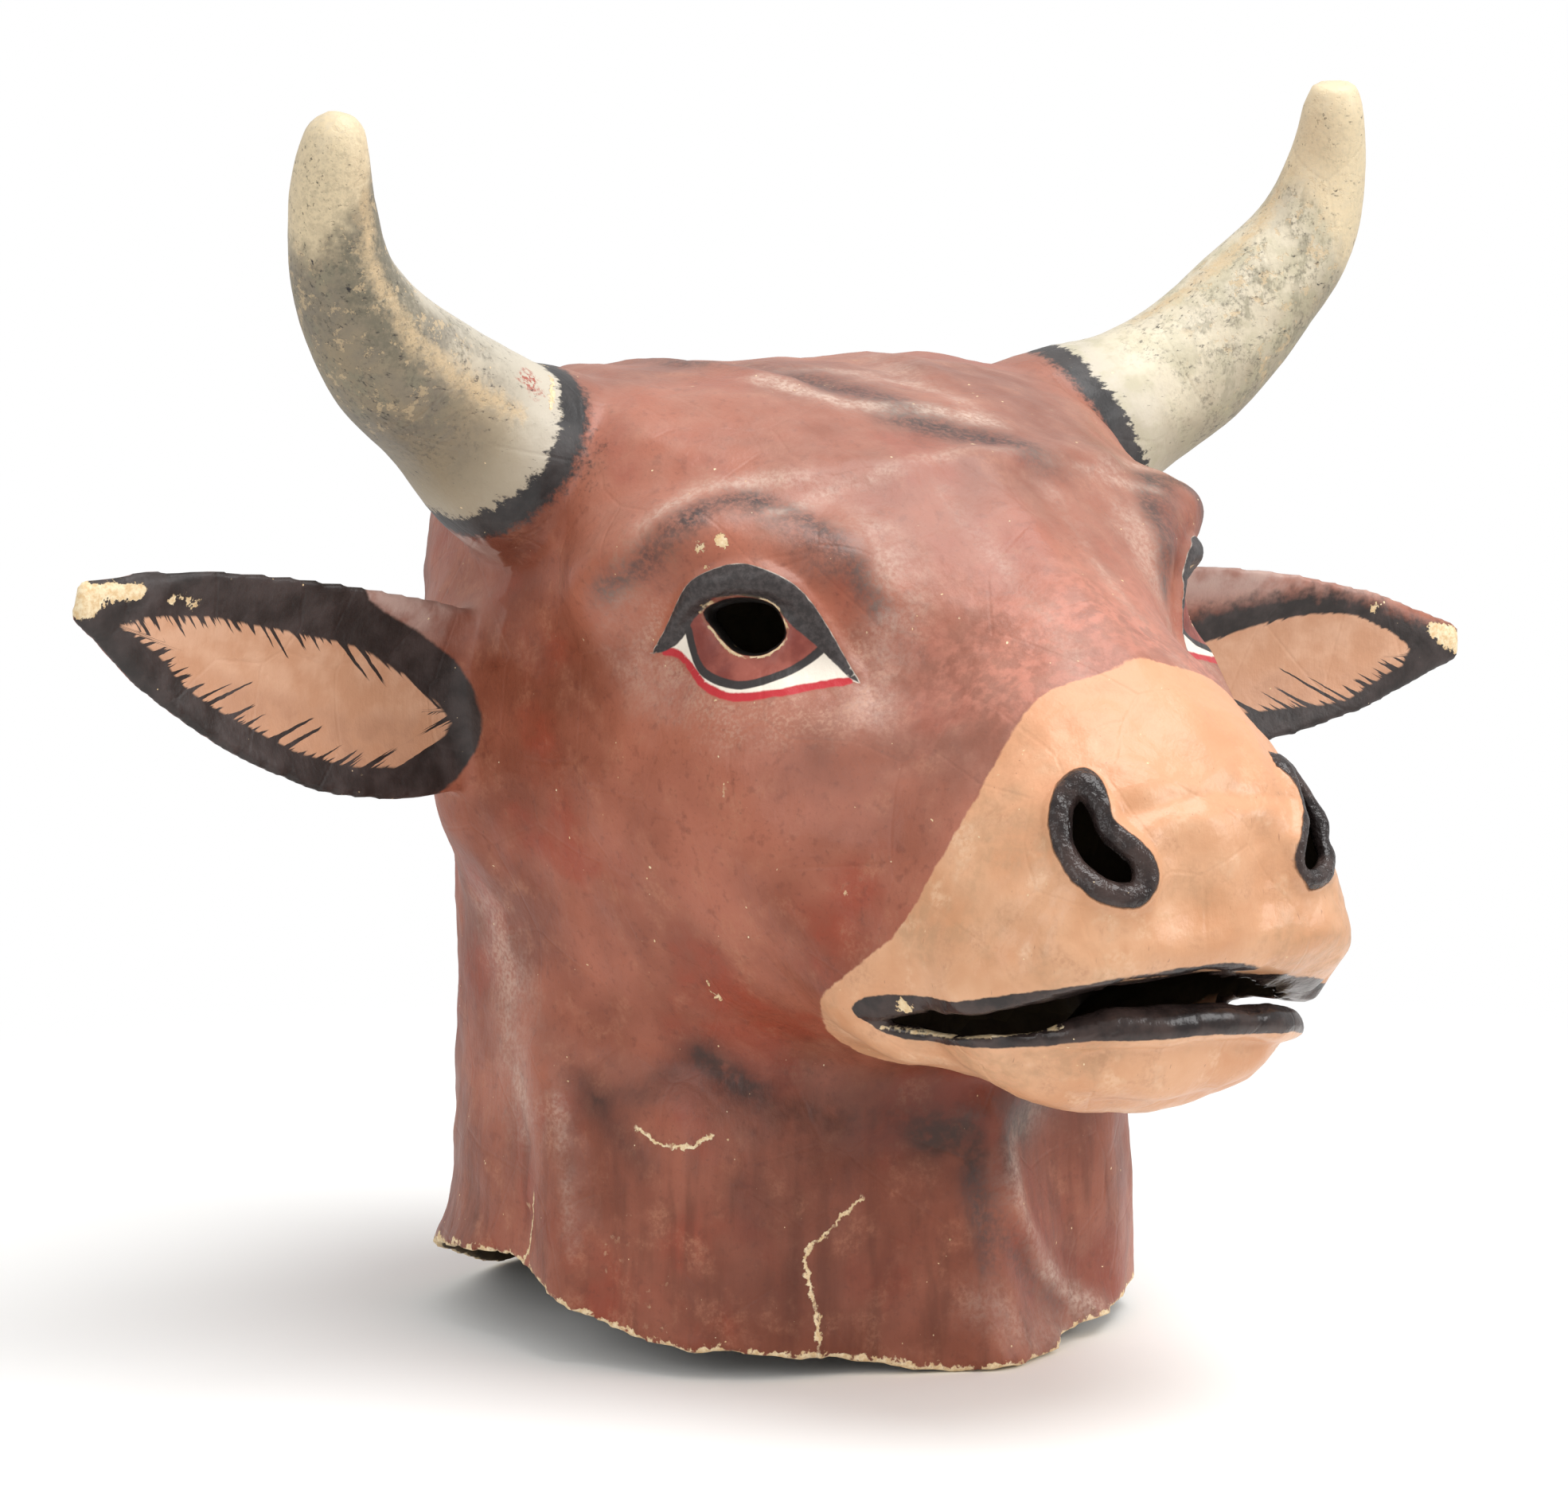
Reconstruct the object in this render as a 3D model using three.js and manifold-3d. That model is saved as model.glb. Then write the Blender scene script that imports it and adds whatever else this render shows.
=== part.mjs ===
// A full-head cow mask in papier-mache: one hollow shell that stands on the rim of its neck.
// Millimetres, +Z up, muzzle towards -Y, the animal's right side at -X.
// The head is worked out round the middle of the neck, and the whole is then centred on its box.
// Profiles are written as [forward, up], places on one side as [out, forward, up]; forward is -Y.

import * as THREE from "three";
import { mergeVertices } from "three/addons/utils/BufferGeometryUtils.js";
import Module from "manifold-3d";

const wasm = await Module();
wasm.setup();

// Driving dimensions
const WALL = 5;
const NOSE_CAP_DEPTH = 26;
const BELOW_RIM = -12;
const RIGHT = -1;
const LEFT = 1;

// Flat rings of the head, from the neck rim to the nose. Each passes through a point on the back,
// poll or brow line and one on the throat or jaw line. half is the half width, square the
// superellipse powers above and below the widest level, widest how far down that level lies.
const ring = (top, under, half, square, widest = 0.5) => [...top, ...under, half, ...square, widest];
const HEAD_RINGS = [
  ring([-156, BELOW_RIM], [158, BELOW_RIM], 155, [2.2, 2.1]),
  ring([-152, 70], [153, 58], 149, [2.2, 2.3]),
  ring([-150, 150], [148, 104], 145, [2.2, 2.4]),
  ring([-153, 230], [149, 124], 145, [2.2, 2.3]),
  ring([-155, 310], [153, 132], 151, [2.3, 2.2]),
  ring([-132, 385], [160, 136], 156, [3.2, 2.2]),
  ring([-80, 424], [168, 138], 156, [3.8, 2.2]),
  ring([-20, 435], [177, 138], 152, [4.4, 2.2]),
  ring([45, 431], [188, 137], 146, [4.2, 2.2], 0.48),
  ring([100, 417], [201, 136], 138, [3.2, 2.2], 0.5),
  ring([150, 392], [216, 134], 122, [2.3, 2.2], 0.56),
  ring([200, 356], [232, 132], 105, [1.9, 2.2], 0.6),
  ring([245, 325], [248, 130], 100, [1.9, 2.3], 0.6),
  ring([277, 301], [259, 131], 95, [2.0, 2.4], 0.6),
  ring([296, 282], [266, 134], 91, [2.1, 2.5], 0.6),
  ring([303, 268], [272, 139], 84, [2.2, 2.5], 0.6),
];
const FACE_STARTS = 5;
const BROW_STARTS = 8;
const MUZZLE_STARTS = 12.4;
const OUTER_GRID = { around: 48, neckRows: 5, pollRows: 6, browRows: 14, muzzleRows: 6, capRows: 6 };
const INNER_GRID = { around: 26, neckRows: 4, pollRows: 3, browRows: 8, muzzleRows: 3, capRows: 3 };
// How far the points of a ring crowd towards its sides, where the eyes are
const CROWDING = 0.15;

// Modelled relief. Each stroke raises or sinks the skin beside a curve by a bell-shaped amount.
const stroke = (height, width, ...places) => ({ height, width, places });
const RELIEF = [
  // Brow ridge, and the socket under it
  stroke(19, 20, [140, 74, 346], [138, 104, 364], [122, 140, 374], [94, 172, 368]),
  stroke(-12, 25, [130, 112, 322], [116, 150, 326], [88, 204, 322]),
  // Upper lip, the hollows beside the groove of the nose, and the lower lip set back
  stroke(6, 15, [92, 262, 192], [62, 308, 204], [0, 325, 208]),
  stroke(-6, 14, [24, 322, 246], [22, 325, 222]),
  stroke(-12, 24, [72, 290, 165], [40, 306, 167], [0, 312, 167]),
  // Bulge round the corner of the mouth, and the groove between jaw and neck
  stroke(7, 20, [98, 212, 190], [102, 192, 172], [90, 206, 156]),
  stroke(-8, 18, [132, 60, 146], [116, 98, 138], [84, 128, 128]),
  // Dewlap with the hollow beside it, and the fold that runs down the side of the neck
  stroke(7, 20, [0, 150, 112], [0, 156, 60], [0, 160, 0]),
  stroke(-9, 24, [48, 142, 96], [54, 140, 50], [60, 140, 0]),
  stroke(6, 16, [146, 20, 130], [143, 34, 70], [144, 40, 10]),
  // Flare of the rim behind the shoulder
  stroke(7, 16, [152, -36, 34], [124, -96, 24]),
  // Swellings that lead into the ear and into the front and top of the horn
  stroke(18, 40, [150, -22, 250], [152, -18, 300]),
  stroke(7, 24, [108, -30, 436], [122, 20, 436], [134, 52, 414], [148, 56, 384]),
];
// Shares of a stroke's height and width. Inside, hollows show deeper and wider and bumps lower
// and narrower, so the wall is never thin.
const OUTSIDE = { bump: [1, 1], hollow: [1, 1] };
const INSIDE = { bump: [0.8, 0.85], hollow: [1.45, 1.4] };

// Rim of the neck as [degrees round from the throat, up]: it is cut away over the shoulders, and
// the mask stands on its level stretches at the throat and the back.
const RIM_HEIGHTS = [
  [0, 0], [12, 0], [22, 6], [35, 10], [60, 13], [76, 28], [92, 39], [120, 31], [150, 2], [158, 0], [180, 0],
];
const RIM_SIDES = 40;
// The cutter of the rim, as distances from the middle of the neck
const RIM_CUTTER = { inside: 99, level: 100, outside: 220, floor: 3 * BELOW_RIM };

// Horns, shaped by hand and so not quite alike: centre line and radii from inside the head to the tip
const HORN_RIGHT = [
  [[112, 4, 380], 50], [[153, 8, 399], 43.5], [[187, 14, 421], 34.5], [[223, 24, 444], 30],
  [[250, 34, 474], 23], [[261, 42, 506], 18.5], [[265, 51, 530], 15], [[264, 54, 541], 11.5], [[263, 55, 547], 5],
];
const HORN_LEFT = [
  [[112, 4, 378], 50], [[152, 8, 395], 44], [[190, 13, 411], 35.5], [[222, 18, 429], 33],
  [[252, 25, 457], 30], [[276, 34, 487], 25], [[283, 43, 521], 19], [[279, 52, 548], 14.5], [[277, 54, 560], 10],
];
const HORN_TIP_ROWS = 2;
const HORN_STEPS = { along: 12, around: 12 };
const HOLLOW_STEPS = { along: 8, around: 8 };

// Ears: root, tip and how far the middle sags, and the leaf shape as
// [share of length, sag, half height, thickness]
const EAR_RIGHT = { root: [140, -17, 286], tip: [374, 32, 351], sag: 1 };
const EAR_LEFT = { root: [140, -17, 288], tip: [380, 32, 284], sag: 0.3 };
const EAR_LEAF = [
  [0, 0, 34, 34], [0.1, 4, 39, 22], [0.22, 9, 43, 13], [0.42, 12, 44, 10], [0.62, 10, 38, 9],
  [0.8, 6, 27, 8], [0.92, 2, 15, 8], [1, 0, 5, 6],
];
const EAR_CUP = 15;
const EAR_CUP_REACH = 5 / 6;
const EAR_STEPS = { along: 12, around: 12 };

// An eye and a nostril each lie in a plane frame: centre, the way it faces, and then
// [towards the nose, up] in that plane.
const EYE = { centre: [119, 138, 333], facing: [0.82, 0.52, 0.12] };
const EYE_HOLE = { middle: [1, 0], half: [22, 11], pointed: 0.4, sides: 20 };
const EYEBALL = { middle: [3, -5], half: [38, 27], depth: 26, proud: 4, sides: [18, 10] };
// Upper lid as [towards the nose, up, radius]
const UPPER_LID = [
  [-41, -12, 2], [-29, 3, 4], [-15, 15, 6], [2, 19, 6.5], [18, 16, 6], [30, 5, 5], [40, -9, 4], [51, -21, 2],
];
const LID_STEPS = 12;
const NOSTRIL = { centre: [62, 300, 252], facing: [0.45, 0.8, 0.4] };
const NOSTRIL_OUTLINE = [[0, 30], [7, 20], [12, 8], [24, -5], [22, -19], [5, -18], [-9, -2], [-10, 17]];
const NOSTRIL_RIM = 5;
const NOSTRIL_SUNK = 1.5;
const NOSTRIL_SIDES = 20;
const BEAD_SIDES = 6;
const PLUG_REACH = 30;

// Mouth slit seen from the side, and the rolled lower lip at the front as [out, forward, up, radius]
const MOUTH_UPPER = [[198, 172], [231, 177], [268, 182], [291, 189], [308, 195], [350, 199]];
const MOUTH_LOWER = [[198, 171], [206, 169], [231, 168], [265, 172], [285, 176], [300, 175], [350, 172]];
const MOUTH_WIDTH = 280;
// How steeply the slit and the lip fall from the middle to the left side
const MOUTH_DROOP = 0.13;
const LOWER_LIP = [[80, 264, 168, 2], [66, 279, 171, 5], [44, 291, 175, 8], [20, 297, 176, 8], [0, 299, 176, 8]];
const LIP_STEPS = 12;

const point = ([out, forward, up], side = LEFT) => new THREE.Vector3(side * out, -forward, up);
const steps = (count, from, to) => Array.from({ length: count }, (_, i) => from + ((to - from) * i) / count);
const stepsTo = (count, from, to) => [...steps(count, from, to), to];
const FULL_TURN = 2 * Math.PI;
// Points closer than this are one
const WELD = 0.001;

// Catmull-Rom value between rows of numbers, with the end rows repeated
function between(rows, t) {
  const i = Math.min(Math.max(Math.floor(t), 0), rows.length - 2);
  const u = t - i;
  const [a, b, c, d] = [-1, 0, 1, 2].map((k) => rows[Math.min(Math.max(i + k, 0), rows.length - 1)]);
  return b.map((_, n) => {
    const slope0 = (c[n] - a[n]) / 2;
    const slope1 = (d[n] - b[n]) / 2;
    const gap = c[n] - b[n];
    return b[n] + u * (slope0 + u * (3 * gap - 2 * slope0 - slope1 + u * (slope0 + slope1 - 2 * gap)));
  });
}

// Straight-line values in a table of [place, ...values] rows
function lookUp(rows, place) {
  const i = Math.max(1, rows.findIndex((row) => row[0] >= place));
  const [a, b] = [rows[i - 1], rows[i]];
  const u = (place - a[0]) / (b[0] - a[0]);
  return a.slice(1).map((value, n) => value + (b[n + 1] - value) * u);
}

// A point of the plain head. t runs from 0 at the rim to LAST_RING, then one more for the nose cap;
// angle runs from the top line round the right side.
const LAST_RING = HEAD_RINGS.length - 1;
function plainHead(t, angle) {
  const cap = Math.max(t - LAST_RING, 0) * (Math.PI / 2);
  const [tf, tu, uf, uu, half, squareTop, squareUnder, widest] = between(HEAD_RINGS, Math.min(t, LAST_RING));
  const top = new THREE.Vector2(tf, tu);
  const under = new THREE.Vector2(uf, uu);
  const across = Math.sin(angle);
  const along = Math.cos(angle);
  const power = along > 0 ? squareTop : squareUnder;
  const reach = (Math.abs(across) ** power + Math.abs(along) ** power) ** (-1 / power) * Math.cos(cap);
  const flat = top.clone().lerp(under, widest);
  flat.lerp(along > 0 ? top : under, reach * Math.abs(along));
  const facing = new THREE.Vector2(tu - uu, uf - tf).normalize();
  flat.addScaledVector(facing, NOSE_CAP_DEPTH * Math.sin(cap));
  return new THREE.Vector3(RIGHT * half * reach * across, -flat.x, flat.y);
}

const STROKE_PIECES = 16;
const STROKES = RELIEF.map(({ height, width, places }) => {
  const curve = new THREE.CatmullRomCurve3(places.map((place) => point(place)), false, "centripetal");
  return { height, width, line: curve.getPoints(STROKE_PIECES) };
});

function reliefAt(p, { bump, hollow }) {
  const mirrored = new THREE.Vector3(Math.abs(p.x), p.y, p.z);
  const near = new THREE.Vector3();
  const piece = new THREE.Line3();
  return STROKES.reduce((sum, { height, width, line }) => {
    let distance = Infinity;
    for (let i = 1; i < line.length; i++) {
      piece.set(line[i - 1], line[i]).closestPointToPoint(mirrored, true, near);
      distance = Math.min(distance, near.distanceTo(mirrored));
    }
    const [share, spread] = height > 0 ? bump : hollow;
    return sum + share * height * Math.exp(-((distance / (spread * width)) ** 2));
  }, 0);
}

// The finished skin, or with a depth the inside of a wall that thick
const STEP = 0.01;
function skin(t, angle, depth = 0) {
  const p = plainHead(t, angle);
  const alongT = plainHead(t + STEP, angle).sub(plainHead(t - STEP, angle));
  const alongAngle = plainHead(t, angle + STEP).sub(plainHead(t, angle - STEP));
  const normal = alongAngle.cross(alongT).normalize();
  return p.addScaledVector(normal, reliefAt(p, depth > 0 ? INSIDE : OUTSIDE) - depth);
}

function solidOf(points, faces) {
  const vertProperties = new Float32Array(points.flatMap((p) => [p.x, p.y, p.z]));
  return new wasm.Manifold(new wasm.Mesh({ numProp: 3, vertProperties, triVerts: new Uint32Array(faces) }));
}

function solidOfGeometry(geometry, matrix) {
  geometry.deleteAttribute("normal");
  geometry.deleteAttribute("uv");
  const merged = mergeVertices(geometry, WELD).applyMatrix4(matrix);
  const vertProperties = new Float32Array(merged.getAttribute("position").array);
  return new wasm.Manifold(new wasm.Mesh({ numProp: 3, vertProperties, triVerts: new Uint32Array(merged.index.array) }));
}

// A closed solid from rings of points. Seen from the last ring, each runs anticlockwise, and the
// facets of its second half mirror those of the first. The ends get a fan each, or join up when
// the rings go round.
function loft(rings, joined = false) {
  const around = rings[0].length;
  const count = rings.length;
  const faces = [];
  for (let i = 0; i < (joined ? count : count - 1); i++) {
    for (let j = 0; j < around; j++) {
      const next = (j + 1) % around;
      const [here, after] = [i * around, ((i + 1) % count) * around];
      const [a, b, c, d] = [here + j, here + next, after + j, after + next];
      if (2 * j < around) faces.push(a, b, c, b, d, c);
      else faces.push(a, b, d, a, d, c);
    }
  }
  if (joined) return solidOf(rings.flat(), faces);
  const middle = (r) => r.reduce((sum, p) => sum.add(p), new THREE.Vector3()).divideScalar(around);
  const points = [...rings.flat(), middle(rings[0]), middle(rings.at(-1))];
  const last = (count - 1) * around;
  for (let j = 0; j < around; j++) {
    const next = (j + 1) % around;
    faces.push(points.length - 2, next, j, points.length - 1, last + j, last + next);
  }
  return solidOf(points, faces);
}

function headSolid({ around, neckRows, pollRows, browRows, muzzleRows, capRows }, depth) {
  const rows = [
    ...steps(neckRows, 0, FACE_STARTS),
    ...steps(pollRows, FACE_STARTS, BROW_STARTS),
    ...steps(browRows, BROW_STARTS, MUZZLE_STARTS),
    ...steps(muzzleRows, MUZZLE_STARTS, LAST_RING),
    ...steps(capRows, LAST_RING, LAST_RING + 1),
  ];
  const angles = steps(around, 0, FULL_TURN).map((angle) => angle + CROWDING * Math.sin(2 * angle));
  const rings = rows.map((t) => angles.map((angle) => skin(t, angle, depth)));
  if (depth > 0) rings.unshift(rings[0].map((p) => p.clone().setZ(2 * BELOW_RIM)));
  return loft(rings);
}

// Points round a circle that is square to a run
function circle(centre, run, towards, radius, sides) {
  const side = towards.clone().cross(run).normalize();
  const rise = run.clone().cross(side).normalize();
  return steps(sides, 0, FULL_TURN).map((angle) =>
    centre.clone().addScaledVector(side, radius * Math.cos(angle)).addScaledVector(rise, radius * Math.sin(angle)),
  );
}

function hornSolid(rows, side, depth, { along, around }) {
  const table = rows.map(([place, radius]) => [...point(place, side).toArray(), radius]);
  const at = (t) => new THREE.Vector4(...between(table, t));
  const forward = new THREE.Vector3(0, 1, 0);
  const rings = stepsTo(along, 0, table.length - 1).map((t) => {
    const { x, y, z, w: radius } = at(t);
    const ahead = at(t + STEP).sub(at(t - STEP));
    const run = new THREE.Vector3(ahead.x, ahead.y, ahead.z).normalize();
    return circle(new THREE.Vector3(x, y, z), run, forward, radius - depth, around);
  });
  return loft(rings);
}

// A leaf that is cupped forwards and thick at its root
function earSolid({ root, tip, sag }, side) {
  const from = point(root, side);
  const run = point(tip, side).sub(from);
  const length = run.length();
  run.normalize();
  const forward = new THREE.Vector3(0, -1, 0).addScaledVector(run, run.y).normalize();
  const rise = forward.clone().cross(run).multiplyScalar(side);
  const rings = stepsTo(EAR_STEPS.along, 0, 1).map((share) => {
    const [drop, half, thick] = lookUp(EAR_LEAF, share);
    const cup = EAR_CUP * Math.sqrt(Math.sin(Math.PI * Math.min(share / EAR_CUP_REACH, 1)));
    return steps(EAR_STEPS.around, 0, FULL_TURN).map((angle) => {
      const high = Math.cos(angle);
      return from
        .clone()
        .addScaledVector(run, share * length)
        .addScaledVector(rise, half * high - sag * drop)
        .addScaledVector(forward, (cup * Math.cos(2 * angle) + side * thick * Math.sin(angle)) / 2);
    });
  });
  return loft(rings);
}

// The frame of an eye or nostril on one side. onSkin follows the line square to the frame's plane
// until it meets the skin, by Newton's method from the nearest point of a coarse grid.
const NEAR_GRID = 24;
const NEWTON_ROUNDS = 20;
const LARGEST_STEP = { t: 0.3, angle: 0.1 };
function frameOf({ centre, facing }, side) {
  const out = point(facing, side).normalize();
  const across = new THREE.Vector3(0, 0, 1).cross(out).multiplyScalar(-side).normalize();
  const up = out.clone().cross(across).multiplyScalar(-side);
  const middle = point(centre, side);
  let nearest = { distance: Infinity };
  for (const t of steps(NEAR_GRID, FACE_STARTS, LAST_RING + 1)) {
    for (const turn of steps(NEAR_GRID, 0, Math.PI)) {
      const angle = -side * turn;
      const distance = skin(t, angle).distanceTo(middle);
      if (distance < nearest.distance) nearest = { distance, t, angle };
    }
  }
  const inPlane = ([u, v]) => middle.clone().addScaledVector(across, u).addScaledVector(up, v);
  const onSkin = (place) => {
    const from = inPlane(place);
    const miss = (t, angle) => {
      const gap = skin(t, angle).sub(from);
      return new THREE.Vector2(gap.dot(across), gap.dot(up));
    };
    let { t, angle } = nearest;
    for (let round = 0; round < NEWTON_ROUNDS; round++) {
      const here = miss(t, angle);
      const byT = miss(t + STEP, angle).sub(here).divideScalar(STEP);
      const byAngle = miss(t, angle + STEP).sub(here).divideScalar(STEP);
      const scale = byT.cross(byAngle);
      t -= THREE.MathUtils.clamp(here.cross(byAngle) / scale, -LARGEST_STEP.t, LARGEST_STEP.t);
      angle -= THREE.MathUtils.clamp(byT.cross(here) / scale, -LARGEST_STEP.angle, LARGEST_STEP.angle);
    }
    return skin(t, angle);
  };
  return { out, across, up, inPlane, onSkin };
}

// A straight plug through the wall, from an outline in a frame's plane
function plug(frame, outline) {
  const rings = [-PLUG_REACH, PLUG_REACH].map((reach) =>
    outline.map((place) => frame.inPlane(place).addScaledVector(frame.out, reach)),
  );
  const solid = loft(rings);
  return solid.volume() > 0 ? solid : loft(rings.reverse());
}

// A bead of round section along points, with a radius at each
function bead(points, radii, joined) {
  const count = points.length;
  const neighbour = (i) => points[joined ? (i + count) % count : Math.min(Math.max(i, 0), count - 1)];
  const middle = points.reduce((sum, p) => sum.add(p), new THREE.Vector3()).divideScalar(count);
  const rings = points.map((p, i) => {
    const run = neighbour(i + 1).clone().sub(neighbour(i - 1)).normalize();
    return circle(p, run, p.clone().sub(middle), radii[i], BEAD_SIDES);
  });
  return loft(rings, joined);
}

function eyeball(side) {
  const frame = frameOf(EYE, side);
  const centre = frame.onSkin(EYEBALL.middle).addScaledVector(frame.out, EYEBALL.proud - EYEBALL.depth);
  const inward = frame.across.clone().cross(frame.up);
  const matrix = new THREE.Matrix4().makeTranslation(centre);
  matrix.multiply(new THREE.Matrix4().makeBasis(frame.across, frame.up, inward));
  matrix.scale(new THREE.Vector3(...EYEBALL.half, EYEBALL.depth));
  return solidOfGeometry(new THREE.SphereGeometry(1, ...EYEBALL.sides), matrix);
}

function eyeHole(side) {
  const { middle, half, pointed, sides } = EYE_HOLE;
  const outline = steps(sides, 0, FULL_TURN).map((angle) => {
    const high = Math.sin(angle) * Math.abs(Math.sin(angle)) ** pointed;
    return [middle[0] + half[0] * Math.cos(angle), middle[1] + half[1] * high];
  });
  return plug(frameOf(EYE, side), outline);
}

function upperLid(side) {
  const frame = frameOf(EYE, side);
  const rows = stepsTo(LID_STEPS, 0, UPPER_LID.length - 1).map((t) => between(UPPER_LID, t));
  return bead(rows.map(([u, v]) => frame.onSkin([u, v])), rows.map((row) => row[2]), false);
}

function nostril(side) {
  const frame = frameOf(NOSTRIL, side);
  const curve = new THREE.CatmullRomCurve3(NOSTRIL_OUTLINE.map(([u, v]) => new THREE.Vector3(u, v, 0)), true);
  const outline = steps(NOSTRIL_SIDES, 0, 1).map((share) => curve.getPoint(share).toArray());
  const points = outline.map((place) => frame.onSkin(place).addScaledVector(frame.out, -NOSTRIL_SUNK));
  return { hole: plug(frame, outline), rim: bead(points, points.map(() => NOSTRIL_RIM), true) };
}

function mouthSlit() {
  const profile = [...MOUTH_UPPER, ...MOUTH_LOWER.toReversed()];
  const shape = new THREE.Shape(profile.map(([forward, up]) => new THREE.Vector2(forward, up)));
  const geometry = new THREE.ExtrudeGeometry(shape, { depth: MOUTH_WIDTH, steps: 2, bevelEnabled: false });
  const position = geometry.getAttribute("position");
  for (let i = 0; i < position.count; i++) {
    const left = Math.max(MOUTH_WIDTH / 2 - position.getZ(i), 0);
    position.setY(i, position.getY(i) - MOUTH_DROOP * left);
  }
  const matrix = new THREE.Matrix4().makeBasis(
    new THREE.Vector3(0, -1, 0),
    new THREE.Vector3(0, 0, 1),
    new THREE.Vector3(-1, 0, 0),
  );
  matrix.setPosition(MOUTH_WIDTH / 2, 0, 0);
  return solidOfGeometry(geometry, matrix);
}

function lowerLip() {
  const right = LOWER_LIP.map(([out, ...rest]) => [-out, ...rest]);
  const left = LOWER_LIP.map(([out, forward, up, radius]) => [out, forward, up - MOUTH_DROOP * out, radius]);
  const rows = [...right, ...left.reverse().slice(1)];
  const along = stepsTo(LIP_STEPS, 0, rows.length - 1).map((t) => between(rows, t));
  return bead(along.map((row) => point(row)), along.map((row) => row[3]), false);
}

// What lies below the rim line, which runs level through the wall all round the neck
function belowRim() {
  const ringAt = (radius, upAt) =>
    steps(RIM_SIDES, 0, FULL_TURN).map((angle) => {
      const fromThroat = THREE.MathUtils.radToDeg(Math.PI - Math.abs(Math.PI - angle));
      return new THREE.Vector3(-radius * Math.sin(angle), -radius * Math.cos(angle), upAt(fromThroat));
    });
  const rimUp = (degrees) => lookUp(RIM_HEIGHTS, degrees)[0];
  const floorUp = () => RIM_CUTTER.floor;
  const { inside, level, outside } = RIM_CUTTER;
  return loft([ringAt(inside, floorUp), ringAt(level, rimUp), ringAt(outside, rimUp), ringAt(outside, floorUp)]);
}

function meshOf(solid, name, material) {
  const { vertProperties, triVerts } = solid.getMesh();
  const geometry = new THREE.BufferGeometry();
  geometry.setAttribute("position", new THREE.BufferAttribute(vertProperties, 3));
  geometry.setIndex(new THREE.BufferAttribute(triVerts, 1));
  geometry.computeVertexNormals();
  const mesh = new THREE.Mesh(geometry, material);
  mesh.name = name;
  return mesh;
}

const both = (make) => make(RIGHT).add(make(LEFT));
const horns = hornSolid(HORN_RIGHT, RIGHT, 0, HORN_STEPS).add(hornSolid(HORN_LEFT, LEFT, 0, HORN_STEPS));
const hornHollows = hornSolid(HORN_RIGHT.slice(0, -HORN_TIP_ROWS), RIGHT, WALL, HOLLOW_STEPS).add(
  hornSolid(HORN_LEFT.slice(0, -HORN_TIP_ROWS), LEFT, WALL, HOLLOW_STEPS),
);
const ears = earSolid(EAR_RIGHT, RIGHT).add(earSolid(EAR_LEFT, LEFT));
const nostrils = [nostril(RIGHT), nostril(LEFT)];

const shell = headSolid(OUTER_GRID, 0)
  .add(horns)
  .add(ears)
  .add(both(eyeball))
  .add(both(upperLid))
  .subtract(nostrils[0].hole)
  .subtract(nostrils[1].hole)
  .add(nostrils[0].rim)
  .add(nostrils[1].rim)
  .subtract(both(eyeHole))
  .subtract(mouthSlit())
  .add(lowerLip())
  .subtract(headSolid(INNER_GRID, WALL))
  .subtract(hornHollows)
  .subtract(belowRim());

const RED_BROWN = 0x9a5a4a;
const paintedPaper = new THREE.MeshStandardMaterial({ color: RED_BROWN, roughness: 0.5, metalness: 0 });
const mask = new THREE.Group();
mask.add(meshOf(shell, "cow_mask", paintedPaper));
const middleOfBox = new THREE.Box3().setFromObject(mask).getCenter(new THREE.Vector3());
mask.position.set(-middleOfBox.x, -middleOfBox.y, 0);

export default mask;
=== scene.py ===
import math

import bpy
import numpy as np
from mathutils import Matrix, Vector
from mathutils.bvhtree import BVHTree


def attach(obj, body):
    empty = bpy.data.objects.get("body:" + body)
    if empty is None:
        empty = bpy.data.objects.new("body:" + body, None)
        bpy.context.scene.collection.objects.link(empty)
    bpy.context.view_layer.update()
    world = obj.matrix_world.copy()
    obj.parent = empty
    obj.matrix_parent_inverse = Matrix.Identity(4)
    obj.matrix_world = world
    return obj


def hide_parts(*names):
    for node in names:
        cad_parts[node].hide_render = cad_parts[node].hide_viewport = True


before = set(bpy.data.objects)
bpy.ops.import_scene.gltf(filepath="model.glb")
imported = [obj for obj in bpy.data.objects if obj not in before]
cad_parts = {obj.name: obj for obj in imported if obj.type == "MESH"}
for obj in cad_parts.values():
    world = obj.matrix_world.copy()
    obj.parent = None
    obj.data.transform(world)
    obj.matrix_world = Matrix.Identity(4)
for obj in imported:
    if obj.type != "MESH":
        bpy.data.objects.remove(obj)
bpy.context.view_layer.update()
bpy.ops.object.select_all(action="DESELECT")

MM = 0.001
# From the middle of the neck to the middle of the mask's box
TO_BOX_MIDDLE = np.array([-2.578, 80.559, 0.0])
RIGHT, LEFT = -1, 1

WALL = 5.0
NOSE_CAP_DEPTH = 26.0
BELOW_RIM = -12.0
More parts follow.
